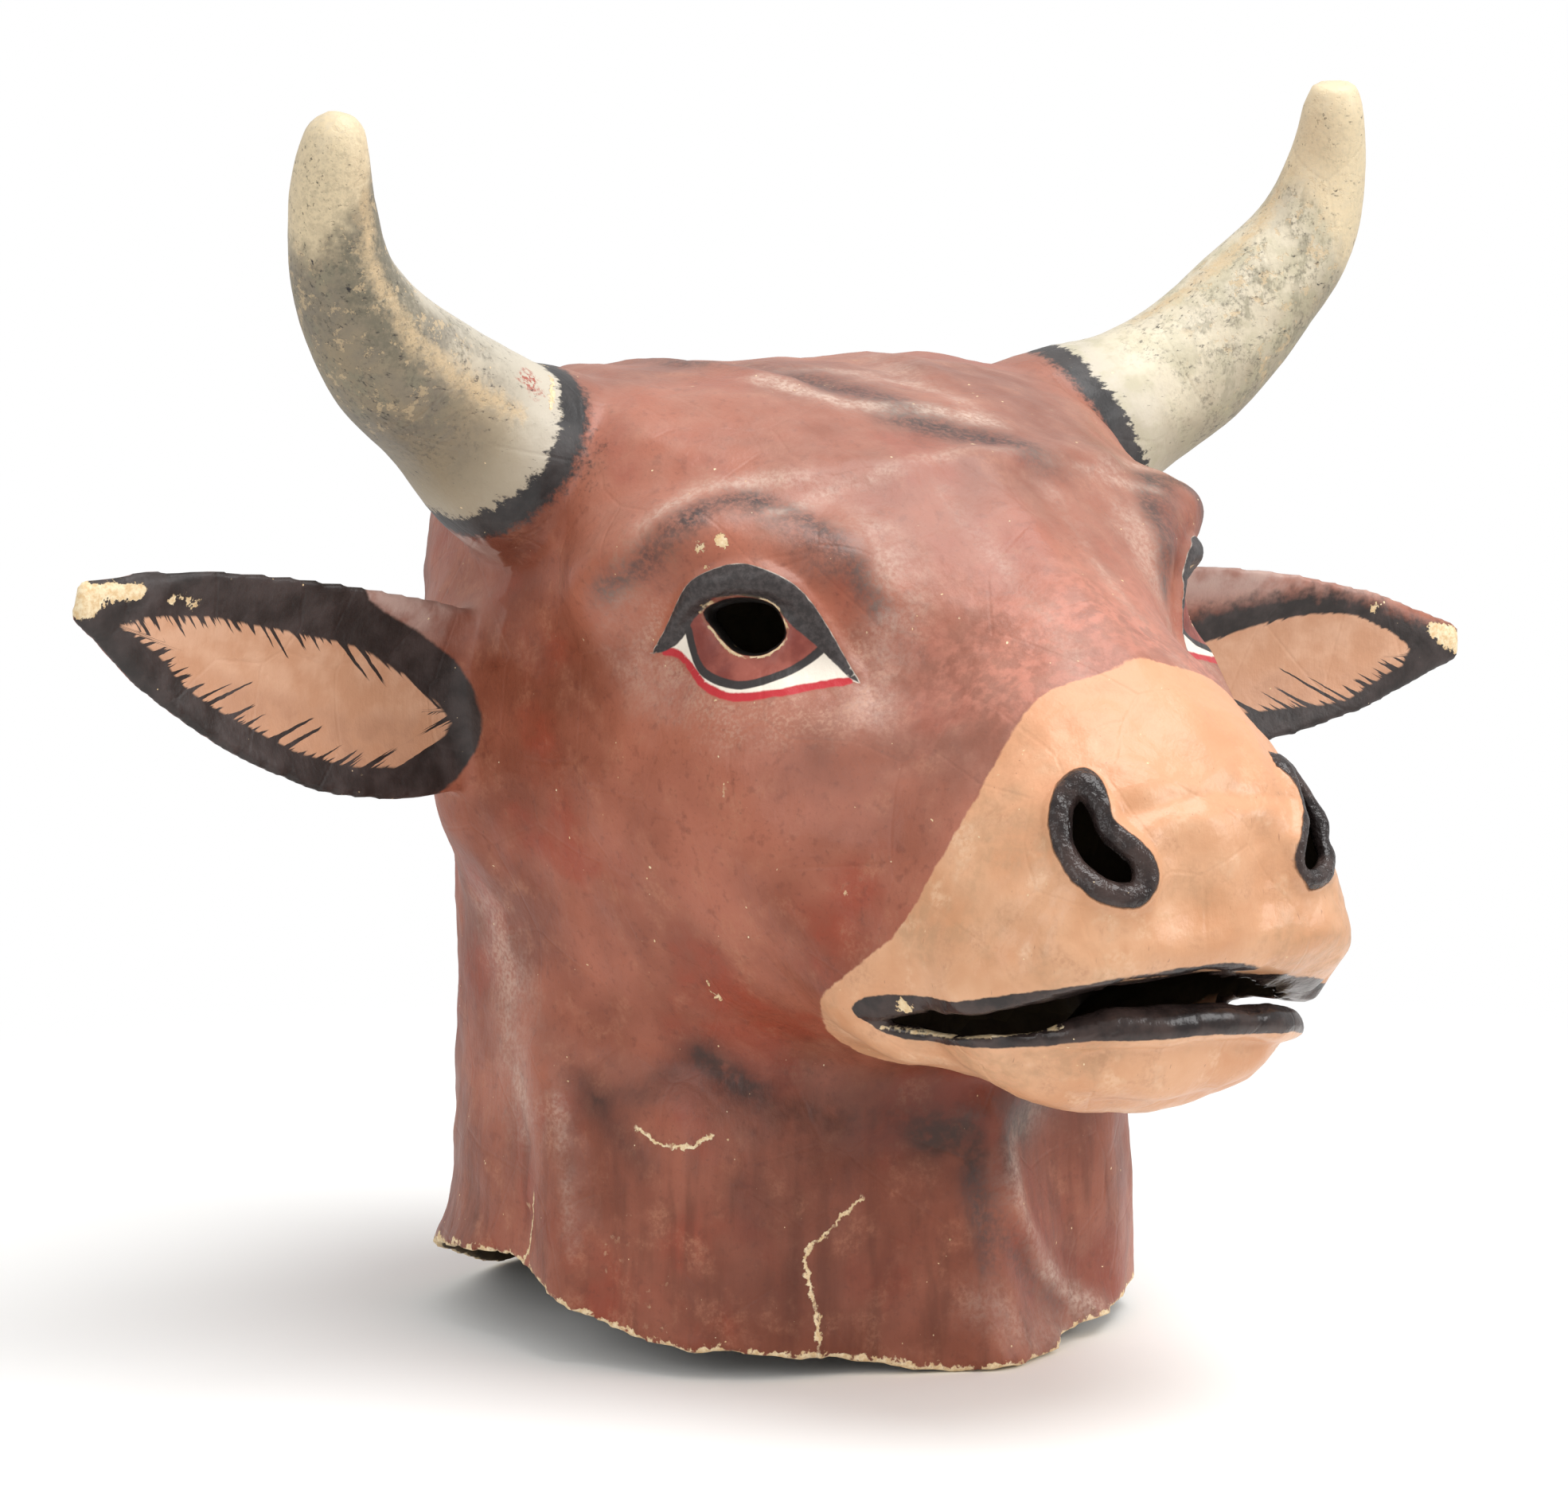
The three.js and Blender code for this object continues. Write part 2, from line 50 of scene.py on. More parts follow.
# Rings of the head from the neck rim to the nose: top [forward, up], under [forward, up], half width,
# squareness above and below the widest level, and how far down that level lies
HEAD_RINGS = [
    [-156, -12, 158, -12, 155, 2.2, 2.1, 0.5],
    [-152, 70, 153, 58, 149, 2.2, 2.3, 0.5],
    [-150, 150, 148, 104, 145, 2.2, 2.4, 0.5],
    [-153, 230, 149, 124, 145, 2.2, 2.3, 0.5],
    [-155, 310, 153, 132, 151, 2.3, 2.2, 0.5],
    [-132, 385, 160, 136, 156, 3.2, 2.2, 0.5],
    [-80, 424, 168, 138, 156, 3.8, 2.2, 0.5],
    [-20, 435, 177, 138, 152, 4.4, 2.2, 0.5],
    [45, 431, 188, 137, 146, 4.2, 2.2, 0.48],
    [100, 417, 201, 136, 138, 3.2, 2.2, 0.5],
    [150, 392, 216, 134, 122, 2.3, 2.2, 0.56],
    [200, 356, 232, 132, 105, 1.9, 2.2, 0.6],
    [245, 325, 248, 130, 100, 1.9, 2.3, 0.6],
    [277, 301, 259, 131, 95, 2.0, 2.4, 0.6],
    [296, 282, 266, 134, 91, 2.1, 2.5, 0.6],
    [303, 268, 272, 139, 84, 2.2, 2.5, 0.6],
]
LAST_RING = len(HEAD_RINGS) - 1

# Modelled strokes: height, width and the places they run through, the same on both sides
RELIEF = [
    (19, 20, [[140, 74, 346], [138, 104, 364], [122, 140, 374], [94, 172, 368]]),
    (-12, 25, [[130, 112, 322], [116, 150, 326], [88, 204, 322]]),
    (6, 15, [[92, 262, 192], [62, 308, 204], [0, 325, 208]]),
    (-6, 14, [[24, 322, 246], [22, 325, 222]]),
    (-12, 24, [[72, 290, 165], [40, 306, 167], [0, 312, 167]]),
    (7, 20, [[98, 212, 190], [102, 192, 172], [90, 206, 156]]),
    (-8, 18, [[132, 60, 146], [116, 98, 138], [84, 128, 128]]),
    (7, 20, [[0, 150, 112], [0, 156, 60], [0, 160, 0]]),
    (-9, 24, [[48, 142, 96], [54, 140, 50], [60, 140, 0]]),
    (6, 16, [[146, 20, 130], [143, 34, 70], [144, 40, 10]]),
    (7, 16, [[152, -36, 34], [124, -96, 24]]),
    (18, 40, [[150, -22, 250], [152, -18, 300]]),
    (7, 24, [[108, -30, 436], [122, 20, 436], [134, 52, 414], [148, 56, 384]]),
]
# Inside, hollows show deeper and wider and bumps lower and narrower, so the wall is never thin
INSIDE_BUMP = (0.8, 0.85)
INSIDE_HOLLOW = (1.45, 1.4)

# Folds and ridges too low for the solid, on the outside only
FOLDS = [
    (4, 13, [[0, 148, 394], [0, 200, 357], [0, 250, 321]]),
    (3.5, 10, [[0, 141, 399], [19, 141, 397], [48, 135, 397], [83, 126, 393]]),
    (2.5, 7, [[56, 296, 284], [40, 308, 274], [18, 316, 268], [0, 318, 268]]),
    (-2.5, 7, [[0, 322, 256], [0, 326, 234], [0, 322, 212]]),
    (2.5, 9, [[120, 96, 120], [118, 100, 70], [120, 98, 14]]),
    (-2.5, 8, [[152, -4, 330], [151, 2, 290], [150, -2, 250], [146, 6, 220]]),
    (2.5, 9, [[146, 30, 300], [146, 34, 250], [142, 44, 200]]),
    (2.5, 9, [[40, 60, 428], [52, 20, 433], [60, -30, 434]]),
    (-2, 10, [[20, 70, 427], [30, 30, 432], [26, -20, 435]]),
]

# And those on one side only, as [x, forward, up]
OWN_FOLDS = [
    (5, 13, [[8, 161, 0], [38, 154, 0], [75, 139, 2]]),
    (4, 8, [[2, 150, 108], [12, 153, 79], [17, 153, 64], [32, 149, 43], [53, 142, 25], [84, 132, 6]]),
    (-3.5, 6, [[-10, 150, 104], [-8, 154, 85], [-7, 157, 64], [-4, 159, 46], [0, 160, 30]]),
    (-2.5, 9, [[-3, 157, 78], [5, 158, 59], [22, 154, 38], [47, 144, 19]]),
    (2.5, 8, [[-9, 160, 60], [-7, 161, 30], [-5, 161, 0]]),
    (3, 7, [
        [-146, 28, 126], [-147, 34, 117], [-147, 40, 96], [-148, 45, 76], [-148, 49, 55], [-148, 50, 10],
    ]),
    (-2, 8, [[-142, 56, 100], [-141, 62, 60], [-140, 62, 10]]),
    (-2, 8, [[-151, 12, 90], [-151, 12, 50], [-151, 10, 10]]),
]

# Rim of the neck as [degrees round from the throat, up]
RIM_HEIGHTS = np.array([
    [0, 0], [12, 0], [22, 6], [35, 10], [60, 13], [76, 28], [92, 39], [120, 31], [150, 2], [158, 0], [180, 0],
], float)
# Its corners are rounded over these degrees, and it is torn in waves of [height, number round, start]
RIM_CORNER = 3
RIM_WAVES = [(1, 23, 1), (0.8, 41, 2.2), (0.6, 67, 0.4), (0.5, 113, 0)]
RIM_TORN, RIM_TORN_SHARE = 0.55, 1.2
# Outer, upper inner, lower inner and lower outer radius of the ring that cuts it
BELOW_RIM_RADII = [220, 100, 99, 220]

# Horns from inside the head to the tip: [out, forward, up, radius]
HORNS = {
    RIGHT: [
        [112, 4, 380, 50], [153, 8, 399, 43.5], [187, 14, 421, 34.5], [223, 24, 444, 30], [250, 34, 474, 23],
        [261, 42, 506, 18.5], [265, 51, 530, 15], [264, 54, 541, 11.5], [263, 55, 547, 5],
    ],
    LEFT: [
        [112, 4, 378, 50], [152, 8, 395, 44], [190, 13, 411, 35.5], [222, 18, 429, 33], [252, 25, 457, 30],
        [276, 34, 487, 25], [283, 43, 521, 19], [279, 52, 548, 14.5], [277, 54, 560, 10],
    ],
}
# The hollow stops this many places short of the tip
HORN_TIP_ROWS = 2

# Ears: root, tip and how far the middle sags, and the leaf as [share of length, sag, half height, thickness]
EARS = {RIGHT: ([140, -17, 287], [378, 32, 349], 1.0), LEFT: ([140, -17, 290], [381, 32, 287], 0.3)}
EAR_LEAF = np.array([
    [0, 0, 36, 34], [0.1, 4, 40.5, 22], [0.22, 9, 45, 13], [0.42, 12, 46, 10], [0.62, 10, 40, 9],
    [0.8, 6, 29, 9], [0.92, 2, 17.5, 9], [1, 0, 8, 7],
])
EAR_CUP = 15.0
EAR_CUP_REACH = 5 / 6
EAR_RIM_BLUNT = 0.5
EAR_CORNER = 0.04

# An eye and a nostril lie in a plane of their own: [towards the nose, up]
EYE = ([119, 138, 333], [0.82, 0.52, 0.12])
EYE_HOLE_OUTLINE = [
    [-17, 3.5], [-9, 8.5], [-1, 10.3], [7, 10], [13.5, 7], [17.5, 1], [19, -4.5], [15, -9.5], [8.5, -12.5],
    [1, -12.5], [-5.5, -9.5], [-12, -3],
]
EYEBALL_MIDDLE, EYEBALL_HALF, EYEBALL_DEPTH, EYEBALL_PROUD = [3, -5], (38, 27), 26, 4
UPPER_LID = [
    [-41, -12, 2], [-29, 3, 4], [-15, 15, 6], [2, 19, 6.5], [18, 16, 6], [30, 5, 5], [40, -9, 4],
    [51, -21, 2],
]
NOSTRIL = ([62, 300, 252], [0.45, 0.8, 0.4])
NOSTRIL_OUTLINE = [[0, 30], [7, 20], [12, 8], [24, -5], [22, -19], [5, -18], [-9, -2], [-10, 17]]
NOSTRIL_RIM, NOSTRIL_SUNK = 4.9, 0.8
PLUG_REACH = 30.0

# Mouth slit seen from the side, and the rolled lower lip as [out, forward, up, radius]
MOUTH_UPPER = [[198, 172], [231, 177], [268, 182], [291, 191], [308, 197], [350, 201]]
MOUTH_LOWER = [[198, 171], [206, 169], [231, 168], [265, 172], [285, 176], [300, 175], [350, 172]]
MOUTH_WIDTH = 280.0
MOUTH_DROOP = 0.13
LOWER_LIP = [[80, 264, 168, 2], [66, 279, 171, 5], [44, 291, 174, 8], [20, 296, 174, 8], [0, 298, 174, 8]]

# Squares round and along each form before the forms are joined
FINE = 2
HEAD_SQUARES, HORN_SQUARES, EAR_SQUARES, BEAD_SQUARES, EYEBALL_SQUARES = (
    (FINE * around, FINE * along) for around, along in ((120, 110), (28, 50), (36, 50), (10, 40), (48, 32))
)
RIM_SQUARES, NOSTRIL_SQUARES = 180 * FINE, 12
# The head's rows crowd towards the nose: these shares of them fall on these rings, and the first lies here
ROW_SHARES, ROW_RINGS = [0.3, 0.9, 1], [4.6, LAST_RING, LAST_RING + 0.97]
FIRST_ROW = 0.05
# The joined surface is laid again in squares of this side, in millimetres, then thinned to so many triangles
SQUARE = 2.3
MOST_TRIANGLES = 186000
# Turns of smoothing: where horns and ears join the head, all over, and on the ears
SEAM_TURNS, ALL_TURNS, EAR_TURNS = ((30, 3, 12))
# Joins lie farther out than this, and are smoothed up to this far from both skins
JOINS_BEYOND, SEAM_REACH = 90, 16
# Ears lie farther out and lower than this, and ears and horns together farther out
EARS_BEYOND, EARS_BELOW = 170, 385
LIMBS_BEYOND = 165
# Where the muzzle's larger, stiffer paper begins, as [up, forward]
STIFF_MUZZLE = np.array([[120, 175], [150, 155], [190, 205], [230, 240], [260, 255], [320, 260]], float)
# Unevenness of pasted paper: name, kind, size and height in millimetres, and the points it works on. Its flat
# torn pieces meet in soft creases, sharper on the muzzle where they are larger and stiffer
UNEVENNESS = [
    ("hand_laid_lumps", "CLOUDS", 46, 4.0, "firm"),
    ("paper_wrinkles", "CLOUDS", 15, 1.2, "firm"),
    ("creases_between_pieces", "VORONOI", 30, 3.0, "creased"),
    ("fine_creases", "VORONOI", 13, 0.9, "creased"),
]
# How uneven ears and horns are, and how creased the skin off the muzzle is, beside 1 for the rest
LIMBS_UNEVEN, SKIN_CREASED = 0.3, 0.5
# How far round eyes and nostrils the mesh stays finest
EYE_DETAIL, NOSTRIL_DETAIL = 46, 40
# How far the nearest skin is looked for, and what stands for too far away to paint
SEARCH_REACH, FAR = 40, 90.0
# Painted forms are measured this far off their plane and this far from its middle
EYE_PAINT, NOSTRIL_PAINT = (40, 75), (34, 60)
# Horns and ears are painted from this far out, and so far below a horn's skin or off an ear's plane
HORN_BEYOND, HORN_SKIN = 100, 14
EAR_BEYOND, EAR_SKIN = 140, 27
# A small step along a curve, for its direction
STEP = 0.01

# The floor's width and where it fades from paper into white, in metres
FLOOR_WIDTH = 14
FLOOR_FADE = (0.32, 0.95)
# How strongly the white floor and the white all round light the mask, where the camera sees them at 1
FLOOR_LEVEL, WORLD_LEVEL = 0.62, 0.68
# Round soft lights: name, place and width in metres, and watts
SOFTBOXES = [
    ("overhead_softbox", (0.4, -0.6, 2.3), 1.6, 39),
    ("front_right_softbox", (1.9, -2.2, 1.5), 1.4, 31),
    ("left_fill", (-2.6, -1.0, 1.2), 1.8, 19),
]
LIT_PLACE = (0, 0, 0.3)
# The camera's place in degrees and metres round the millimetres it looks at, and its lens in millimetres
VIEW_AZIMUTH, VIEW_ELEVATION, VIEW_DISTANCE = -35, 7, 2.4
LOOKED_AT = (-5.58, 78.56, 259)
LENS, SENSOR = 120.6, 36


def spots(places, side=LEFT):
    """[out, forward, up] places as points of the head on one side."""
    places = np.array(places, float)
    return np.stack([side * places[..., 0], -places[..., 1], places[..., 2]], -1)


def unit(v):
    return v / np.linalg.norm(v, axis=-1, keepdims=True)


def between(rows, t):
    """Catmull-Rom values between rows of numbers, with the end rows repeated."""
    rows, t = np.asarray(rows, float), np.asarray(t, float)
    i = np.clip(np.floor(t).astype(int), 0, len(rows) - 2)
    u = (t - i)[..., None]
    a, b, c, d = (rows[np.clip(i + k, 0, len(rows) - 1)] for k in (-1, 0, 1, 2))
    slope0, slope1, gap = (c - a) / 2, (d - b) / 2, c - b
    return b + u * (slope0 + u * (3 * gap - 2 * slope0 - slope1 + u * (slope0 + slope1 - 2 * gap)))


def curve_through(places, pieces=12):
    places = np.asarray(places, float)
    return between(places, np.linspace(0, len(places) - 1, (len(places) - 1) * pieces + 1))


def closed_curve(places, pieces=10):
    count = len(places)
    looped = [places[i % count] for i in range(-2, count + 3)]
    return between(looped, np.linspace(2, count + 2, count * pieces, endpoint=False))


def distance_to_line(points, line):
    best = np.full(len(points), np.inf)
    for a, b in zip(line[:-1], line[1:]):
        run = b - a
        share = np.clip((points - a) @ run / max(run @ run, 1e-9), 0, 1)
        best = np.minimum(best, np.linalg.norm(points - a - share[:, None] * run, axis=1))
    return best


def distance_across_line(points, outward, line):
    """Distance across a line on the skin, negative on one of its sides, and the plain distance from it."""
    across, nearest = np.full((2, len(points)), float(FAR))
    for a, b in zip(line[:-1], line[1:]):
        run = b - a
        share = np.clip((points - a) @ run / max(run @ run, 1e-9), 0, 1)
        gap = points - a - share[:, None] * run
        distance = np.linalg.norm(gap, axis=1)
        sideways = np.cross(run, outward)
        sideways /= np.linalg.norm(sideways, axis=1)[:, None].clip(1e-6)
        across = np.where(distance < nearest, (gap * sideways).sum(1), across)
        nearest = np.minimum(distance, nearest)
    return across, nearest


def distance_to_area(points, outline):
    """Distance from the edge of a flat area, negative inside it."""
    outline = np.asarray(outline, float)
    ring = np.vstack([outline, outline[:1]])
    inside = np.zeros(len(points), bool)
    for (x0, y0), (x1, y1) in zip(ring[:-1], ring[1:]):
        spans = (y0 > points[:, 1]) != (y1 > points[:, 1])
        cross = x0 + (points[:, 1] - y0) * (x1 - x0) / (y1 - y0 if y1 != y0 else 1e-9)
        inside ^= spans & (points[:, 0] < cross)
    return np.where(inside, -1, 1) * distance_to_line(points, ring)


def plain_head(t, angle):
    """A point of the plain head; angle runs from the top line round the right side."""
    cap = np.maximum(t - LAST_RING, 0) * math.pi / 2
    rows = np.moveaxis(between(HEAD_RINGS, np.minimum(t, LAST_RING)), -1, 0)
    top_f, top_u, under_f, under_u, half, square_top, square_under, widest = rows
    across, along = np.sin(angle), np.cos(angle)
    power = np.where(along > 0, square_top, square_under)
    reach = (np.abs(across) ** power + np.abs(along) ** power) ** (-1 / power) * np.cos(cap)
    level_f, level_u = top_f + (under_f - top_f) * widest, top_u + (under_u - top_u) * widest
    end_f, end_u = np.where(along > 0, top_f, under_f), np.where(along > 0, top_u, under_u)
    share = reach * np.abs(along)
    tall = np.hypot(top_u - under_u, under_f - top_f)
    forward = level_f + (end_f - level_f) * share + (top_u - under_u) / tall * NOSE_CAP_DEPTH * np.sin(cap)
    up = level_u + (end_u - level_u) * share + (under_f - top_f) / tall * NOSE_CAP_DEPTH * np.sin(cap)
    return np.stack([-half * reach * across, -forward, up], -1)


STROKES, FOLD_LINES, OWN_FOLD_LINES = (
    [(height, width, curve_through(spots(places))) for height, width, places in rows]
    for rows in (RELIEF, FOLDS, OWN_FOLDS)
)


def relief_at(points, inside):
    """How far strokes raise or sink the skin; folds show on the outside only."""
    own = points.reshape(-1, 3)
    mirrored = np.hstack([np.abs(own[:, :1]), own[:, 1:]])
    total = np.zeros(len(own))
    for height, width, line in STROKES + ([] if inside else FOLD_LINES):
        share, wider = (1, 1) if not inside else INSIDE_BUMP if height > 0 else INSIDE_HOLLOW
        total += share * height * np.exp(-((distance_to_line(mirrored, line) / (wider * width)) ** 2))
    for height, width, line in [] if inside else OWN_FOLD_LINES:
        total += height * np.exp(-((distance_to_line(own, line) / width) ** 2))
    return total.reshape(points.shape[:-1])


def skin(t, angle, depth=0.0):
    """The finished skin, or with a depth the inside of a wall that thick."""
    t, angle = np.broadcast_arrays(np.asarray(t, float), np.asarray(angle, float))
    along_t = plain_head(t + STEP, angle) - plain_head(t - STEP, angle)
    along_angle = plain_head(t, angle + STEP) - plain_head(t, angle - STEP)
    normal = unit(np.cross(along_angle, along_t) + 1e-12)
    points = plain_head(t, angle)
    return points + normal * (relief_at(points, depth > 0) - depth)[..., None]


class Plane:
    """The plane of an eye or nostril on one side, and the skin straight behind its points."""

    def __init__(self, centre_and_facing, side):
        centre, facing = centre_and_facing
        self.middle = spots(centre, side)
        self.out = unit(spots(facing, side))
        self.across = unit(np.cross([0, 0, 1], self.out) * -side)
        self.up = np.cross(self.out, self.across) * -side
        t, angle = np.meshgrid(np.linspace(5, LAST_RING + 0.9, 60), -side * np.linspace(0.05, 3.1, 60))
        gaps = np.linalg.norm(skin(t, angle) - self.middle, axis=-1)
        nearest = np.unravel_index(np.argmin(gaps), gaps.shape)
        self.start = t[nearest], angle[nearest]

    def point(self, place):
        place = np.asarray(place, float)
        return self.middle + place[..., :1] * self.across + place[..., 1:2] * self.up

    def flat(self, points):
        """Points as [towards the nose, up, off the plane]."""
        gap = points - self.middle
        return np.stack([gap @ self.across, gap @ self.up, gap @ self.out], -1)

    def on_skin(self, place):
        """The skin straight behind places in the plane, found by stepping closer."""
        t, angle = np.full(len(place), self.start[0]), np.full(len(place), self.start[1])
        for _ in range(20):
            here, by_t, by_angle = (
                self.flat(skin(*at))[:, :2] - place
                for at in ((t, angle), (t + STEP, angle), (t, angle + STEP))
            )
            by_t, by_angle = (by_t - here) / STEP, (by_angle - here) / STEP
            scale = by_t[:, 0] * by_angle[:, 1] - by_t[:, 1] * by_angle[:, 0]
            t -= np.clip((here[:, 0] * by_angle[:, 1] - here[:, 1] * by_angle[:, 0]) / scale, -0.3, 0.3)
            angle -= np.clip((by_t[:, 0] * here[:, 1] - by_t[:, 1] * here[:, 0]) / scale, -0.1, 0.1)
        return skin(t, angle)


EYE_PLANES, NOSTRIL_PLANES = (
    {side: Plane(centre_and_facing, side) for side in (RIGHT, LEFT)} for centre_and_facing in (EYE, NOSTRIL)
)


def vectors_of(piece, what="co"):
    """Three numbers for each of a piece's points."""
    flat = np.empty(len(piece.data.vertices) * 3)
    piece.data.vertices.foreach_get(what, flat)
    return flat.reshape(-1, 3)


def points_of(piece):
    """A piece's points in the head's own millimetres."""
    return vectors_of(piece) / MM - TO_BOX_MIDDLE


def place_points(piece, points):
    flat = ((points + TO_BOX_MIDDLE) * MM).astype(np.float32).ravel()
    piece.data.vertices.foreach_set("co", flat)
    piece.data.update()


def primitive(name):
    """Names the primitive just added and gives the plain coordinates of its points."""
    piece = bpy.context.active_object
    piece.name = piece.data.name = name
    return piece, vectors_of(piece)


def select_only(piece):
    bpy.ops.object.select_all(action="DESELECT")
    piece.select_set(True)
    bpy.context.view_layer.objects.active = piece


def face_outwards(piece):
    select_only(piece)
    bpy.ops.object.mode_set(mode="EDIT")
    bpy.ops.mesh.select_all(action="SELECT")
    bpy.ops.mesh.normals_make_consistent(inside=False)
    bpy.ops.object.mode_set(mode="OBJECT")
    piece.select_set(False)


def shaped_ball(name, around, rows, place):
    """A ball whose rings are moved to place(share from end to end, turn); its poles close the end rings."""
    bpy.ops.mesh.primitive_uv_sphere_add(segments=around, ring_count=rows, radius=1, location=(0, 0, 0))
    piece, plain = primitive(name)
    ring = np.rint(np.arccos(np.clip(-plain[:, 2], -1, 1)) / math.pi * rows).astype(int)
    turn = np.rint(np.arctan2(plain[:, 1], plain[:, 0]) / (2 * math.pi) * around) * 2 * math.pi / around
    share = np.clip((ring - 1) / (rows - 2), 0, 1)
    points = place(share, turn)
    for pole, beside in ((0, 1), (rows, rows - 1)):
        points[ring == pole] = points[ring == beside].mean(0)
    place_points(piece, points)
    face_outwards(piece)
    return piece


def plug(name, outline, lay):
    """A straight plug with an outline: lay(outline points, -1 or 1) gives its two ends."""
    bpy.ops.mesh.primitive_cylinder_add(vertices=len(outline), radius=1, depth=2, location=(0, 0, 0))
    piece, plain = primitive(name)
    turn = np.arctan2(plain[:, 1], plain[:, 0]) / (2 * math.pi)
    corner = np.rint(turn * len(outline)).astype(int) % len(outline)
    place_points(piece, lay(np.asarray(outline)[corner], np.sign(plain[:, 2])))
    face_outwards(piece)
    return piece


def circle_round(centre, run, towards, radius, turn):
    side = unit(np.cross(towards, run))
    rise = unit(np.cross(run, side))
    return centre + (side * np.cos(turn)[:, None] + rise * np.sin(turn)[:, None]) * radius[:, None]


def head_form(name, depth):
    """The head's skin, or with a depth its hollow, which reaches on below the rim."""
    around, rows = HEAD_SQUARES
    stops = [0, 1 / (rows - 2), *ROW_SHARES]

    def place(share, turn):
        t = np.interp(share, stops, [0, 0 if depth else FIRST_ROW, *ROW_RINGS])
        points = skin(t, -turn, depth)
        if depth:
            points[share == 0, 2] = 2 * BELOW_RIM
        return points

    return shaped_ball(name, around, rows, place)


def horn_form(name, side, rows, depth):
    table = np.array(rows, float)
    table = np.hstack([spots(table[:, :3], side), table[:, 3:]])

    def place(share, turn):
        t = share * (len(table) - 1)
        here = between(table, t)
        run = unit(between(table, t + STEP)[:, :3] - between(table, t - STEP)[:, :3])
        return circle_round(here[:, :3], run, np.array([0, 1, 0]), here[:, 3] - depth, turn)

    return shaped_ball(name, *HORN_SQUARES, place)


def ear_axes(side):
    root, tip, sag = EARS[side]
    start = spots(root, side)
    run = spots(tip, side) - start
    length = np.linalg.norm(run)
    run /= length
    forward = unit(np.array([0, -1, 0]) + run * run[1])
    rise = np.cross(forward, run) * side
    return start, run, forward, rise, length, sag


def leaf_at(share):
    """Sag, half height and thickness of the ear, with the table's corners rounded."""
    before, here, after = (
        np.array([np.interp(share + d, EAR_LEAF[:, 0], EAR_LEAF[:, k]) for k in (1, 2, 3)])
        for d in (-EAR_CORNER, 0, EAR_CORNER)
    )
    return (before + 2 * here + after) / 4


def ear_form(name, side):
    start, run, forward, rise, length, sag = ear_axes(side)

    def place(share, turn):
        drop, half, thick = leaf_at(share)
        cup = EAR_CUP * np.sqrt(np.sin(math.pi * np.minimum(share / EAR_CUP_REACH, 1)).clip(0))
        blunt = np.sign(np.sin(turn)) * np.abs(np.sin(turn)) ** EAR_RIM_BLUNT
        proud = (cup * np.cos(2 * turn) + side * thick * blunt) / 2
        high = half * np.cos(turn) - sag * drop
        return start + run * (share * length)[:, None] + rise * high[:, None] + forward * proud[:, None]

    return shaped_ball(name, *EAR_SQUARES, place)


def eyeball_form(name, side):
    plane = EYE_PLANES[side]
    centre = plane.on_skin(np.array([EYEBALL_MIDDLE]))[0] + plane.out * (EYEBALL_PROUD - EYEBALL_DEPTH)
    around, rows = EYEBALL_SQUARES
    bpy.ops.mesh.primitive_uv_sphere_add(segments=around, ring_count=rows, radius=1)
    piece, plain = primitive(name)
    axes = np.array([plane.across * EYEBALL_HALF[0], plane.up * EYEBALL_HALF[1], plane.out * EYEBALL_DEPTH])
    place_points(piece, centre + plain @ axes)
    face_outwards(piece)
    return piece


def bead_form(name, line, radii):
    """A bead of round section that tapers along a line."""
    middle = line.mean(0)

    def place(share, turn):
        t = share * (len(line) - 1)
        here = between(line, t)
        run = unit(between(line, t + 0.1) - between(line, t - 0.1))
        return circle_round(here, run, here - middle, between(radii[:, None], t)[:, 0], turn)

    return shaped_ball(name, *BEAD_SQUARES, place)


def lid_form(name, side):
    rows = curve_through(UPPER_LID, 4)
    return bead_form(name, EYE_PLANES[side].on_skin(rows[:, :2]), rows[:, 2])


def lip_form(name):
    right = [[-out, forward, up, radius] for out, forward, up, radius in LOWER_LIP]
    left = [[out, forward, up - MOUTH_DROOP * out, radius] for out, forward, up, radius in LOWER_LIP]
    rows = curve_through(right + left[::-1][1:], 3)
    return bead_form(name, spots(rows[:, :3]), rows[:, 3])


def hole_form(name, plane, outline):
    """A plug straight through the wall in a plane."""
    return plug(name, outline, lambda place, end: plane.point(place) + plane.out * end[:, None] * PLUG_REACH)


def nostril_forms(side):
    plane = NOSTRIL_PLANES[side]
    outline = closed_curve(NOSTRIL_OUTLINE)
    hole = hole_form("nostril_hole", plane, outline)
    line = plane.on_skin(outline) - plane.out * NOSTRIL_SUNK
    count = len(line)
    bpy.ops.mesh.primitive_torus_add(
        major_segments=count, minor_segments=NOSTRIL_SQUARES, major_radius=1, minor_radius=0.25
    )
    rim, plain = primitive("nostril_rim")
    major = np.rint(np.arctan2(plain[:, 1], plain[:, 0]) / (2 * math.pi) * count).astype(int) % count
    minor = np.arctan2(plain[:, 2], np.hypot(plain[:, 0], plain[:, 1]) - 1)
    run = unit(line[(major + 1) % count] - line[major - 1])
    radius = np.full(len(plain), NOSTRIL_RIM)
    place_points(rim, circle_round(line[major], run, line[major] - line.mean(0), radius, minor))
    face_outwards(rim)
    return hole, rim


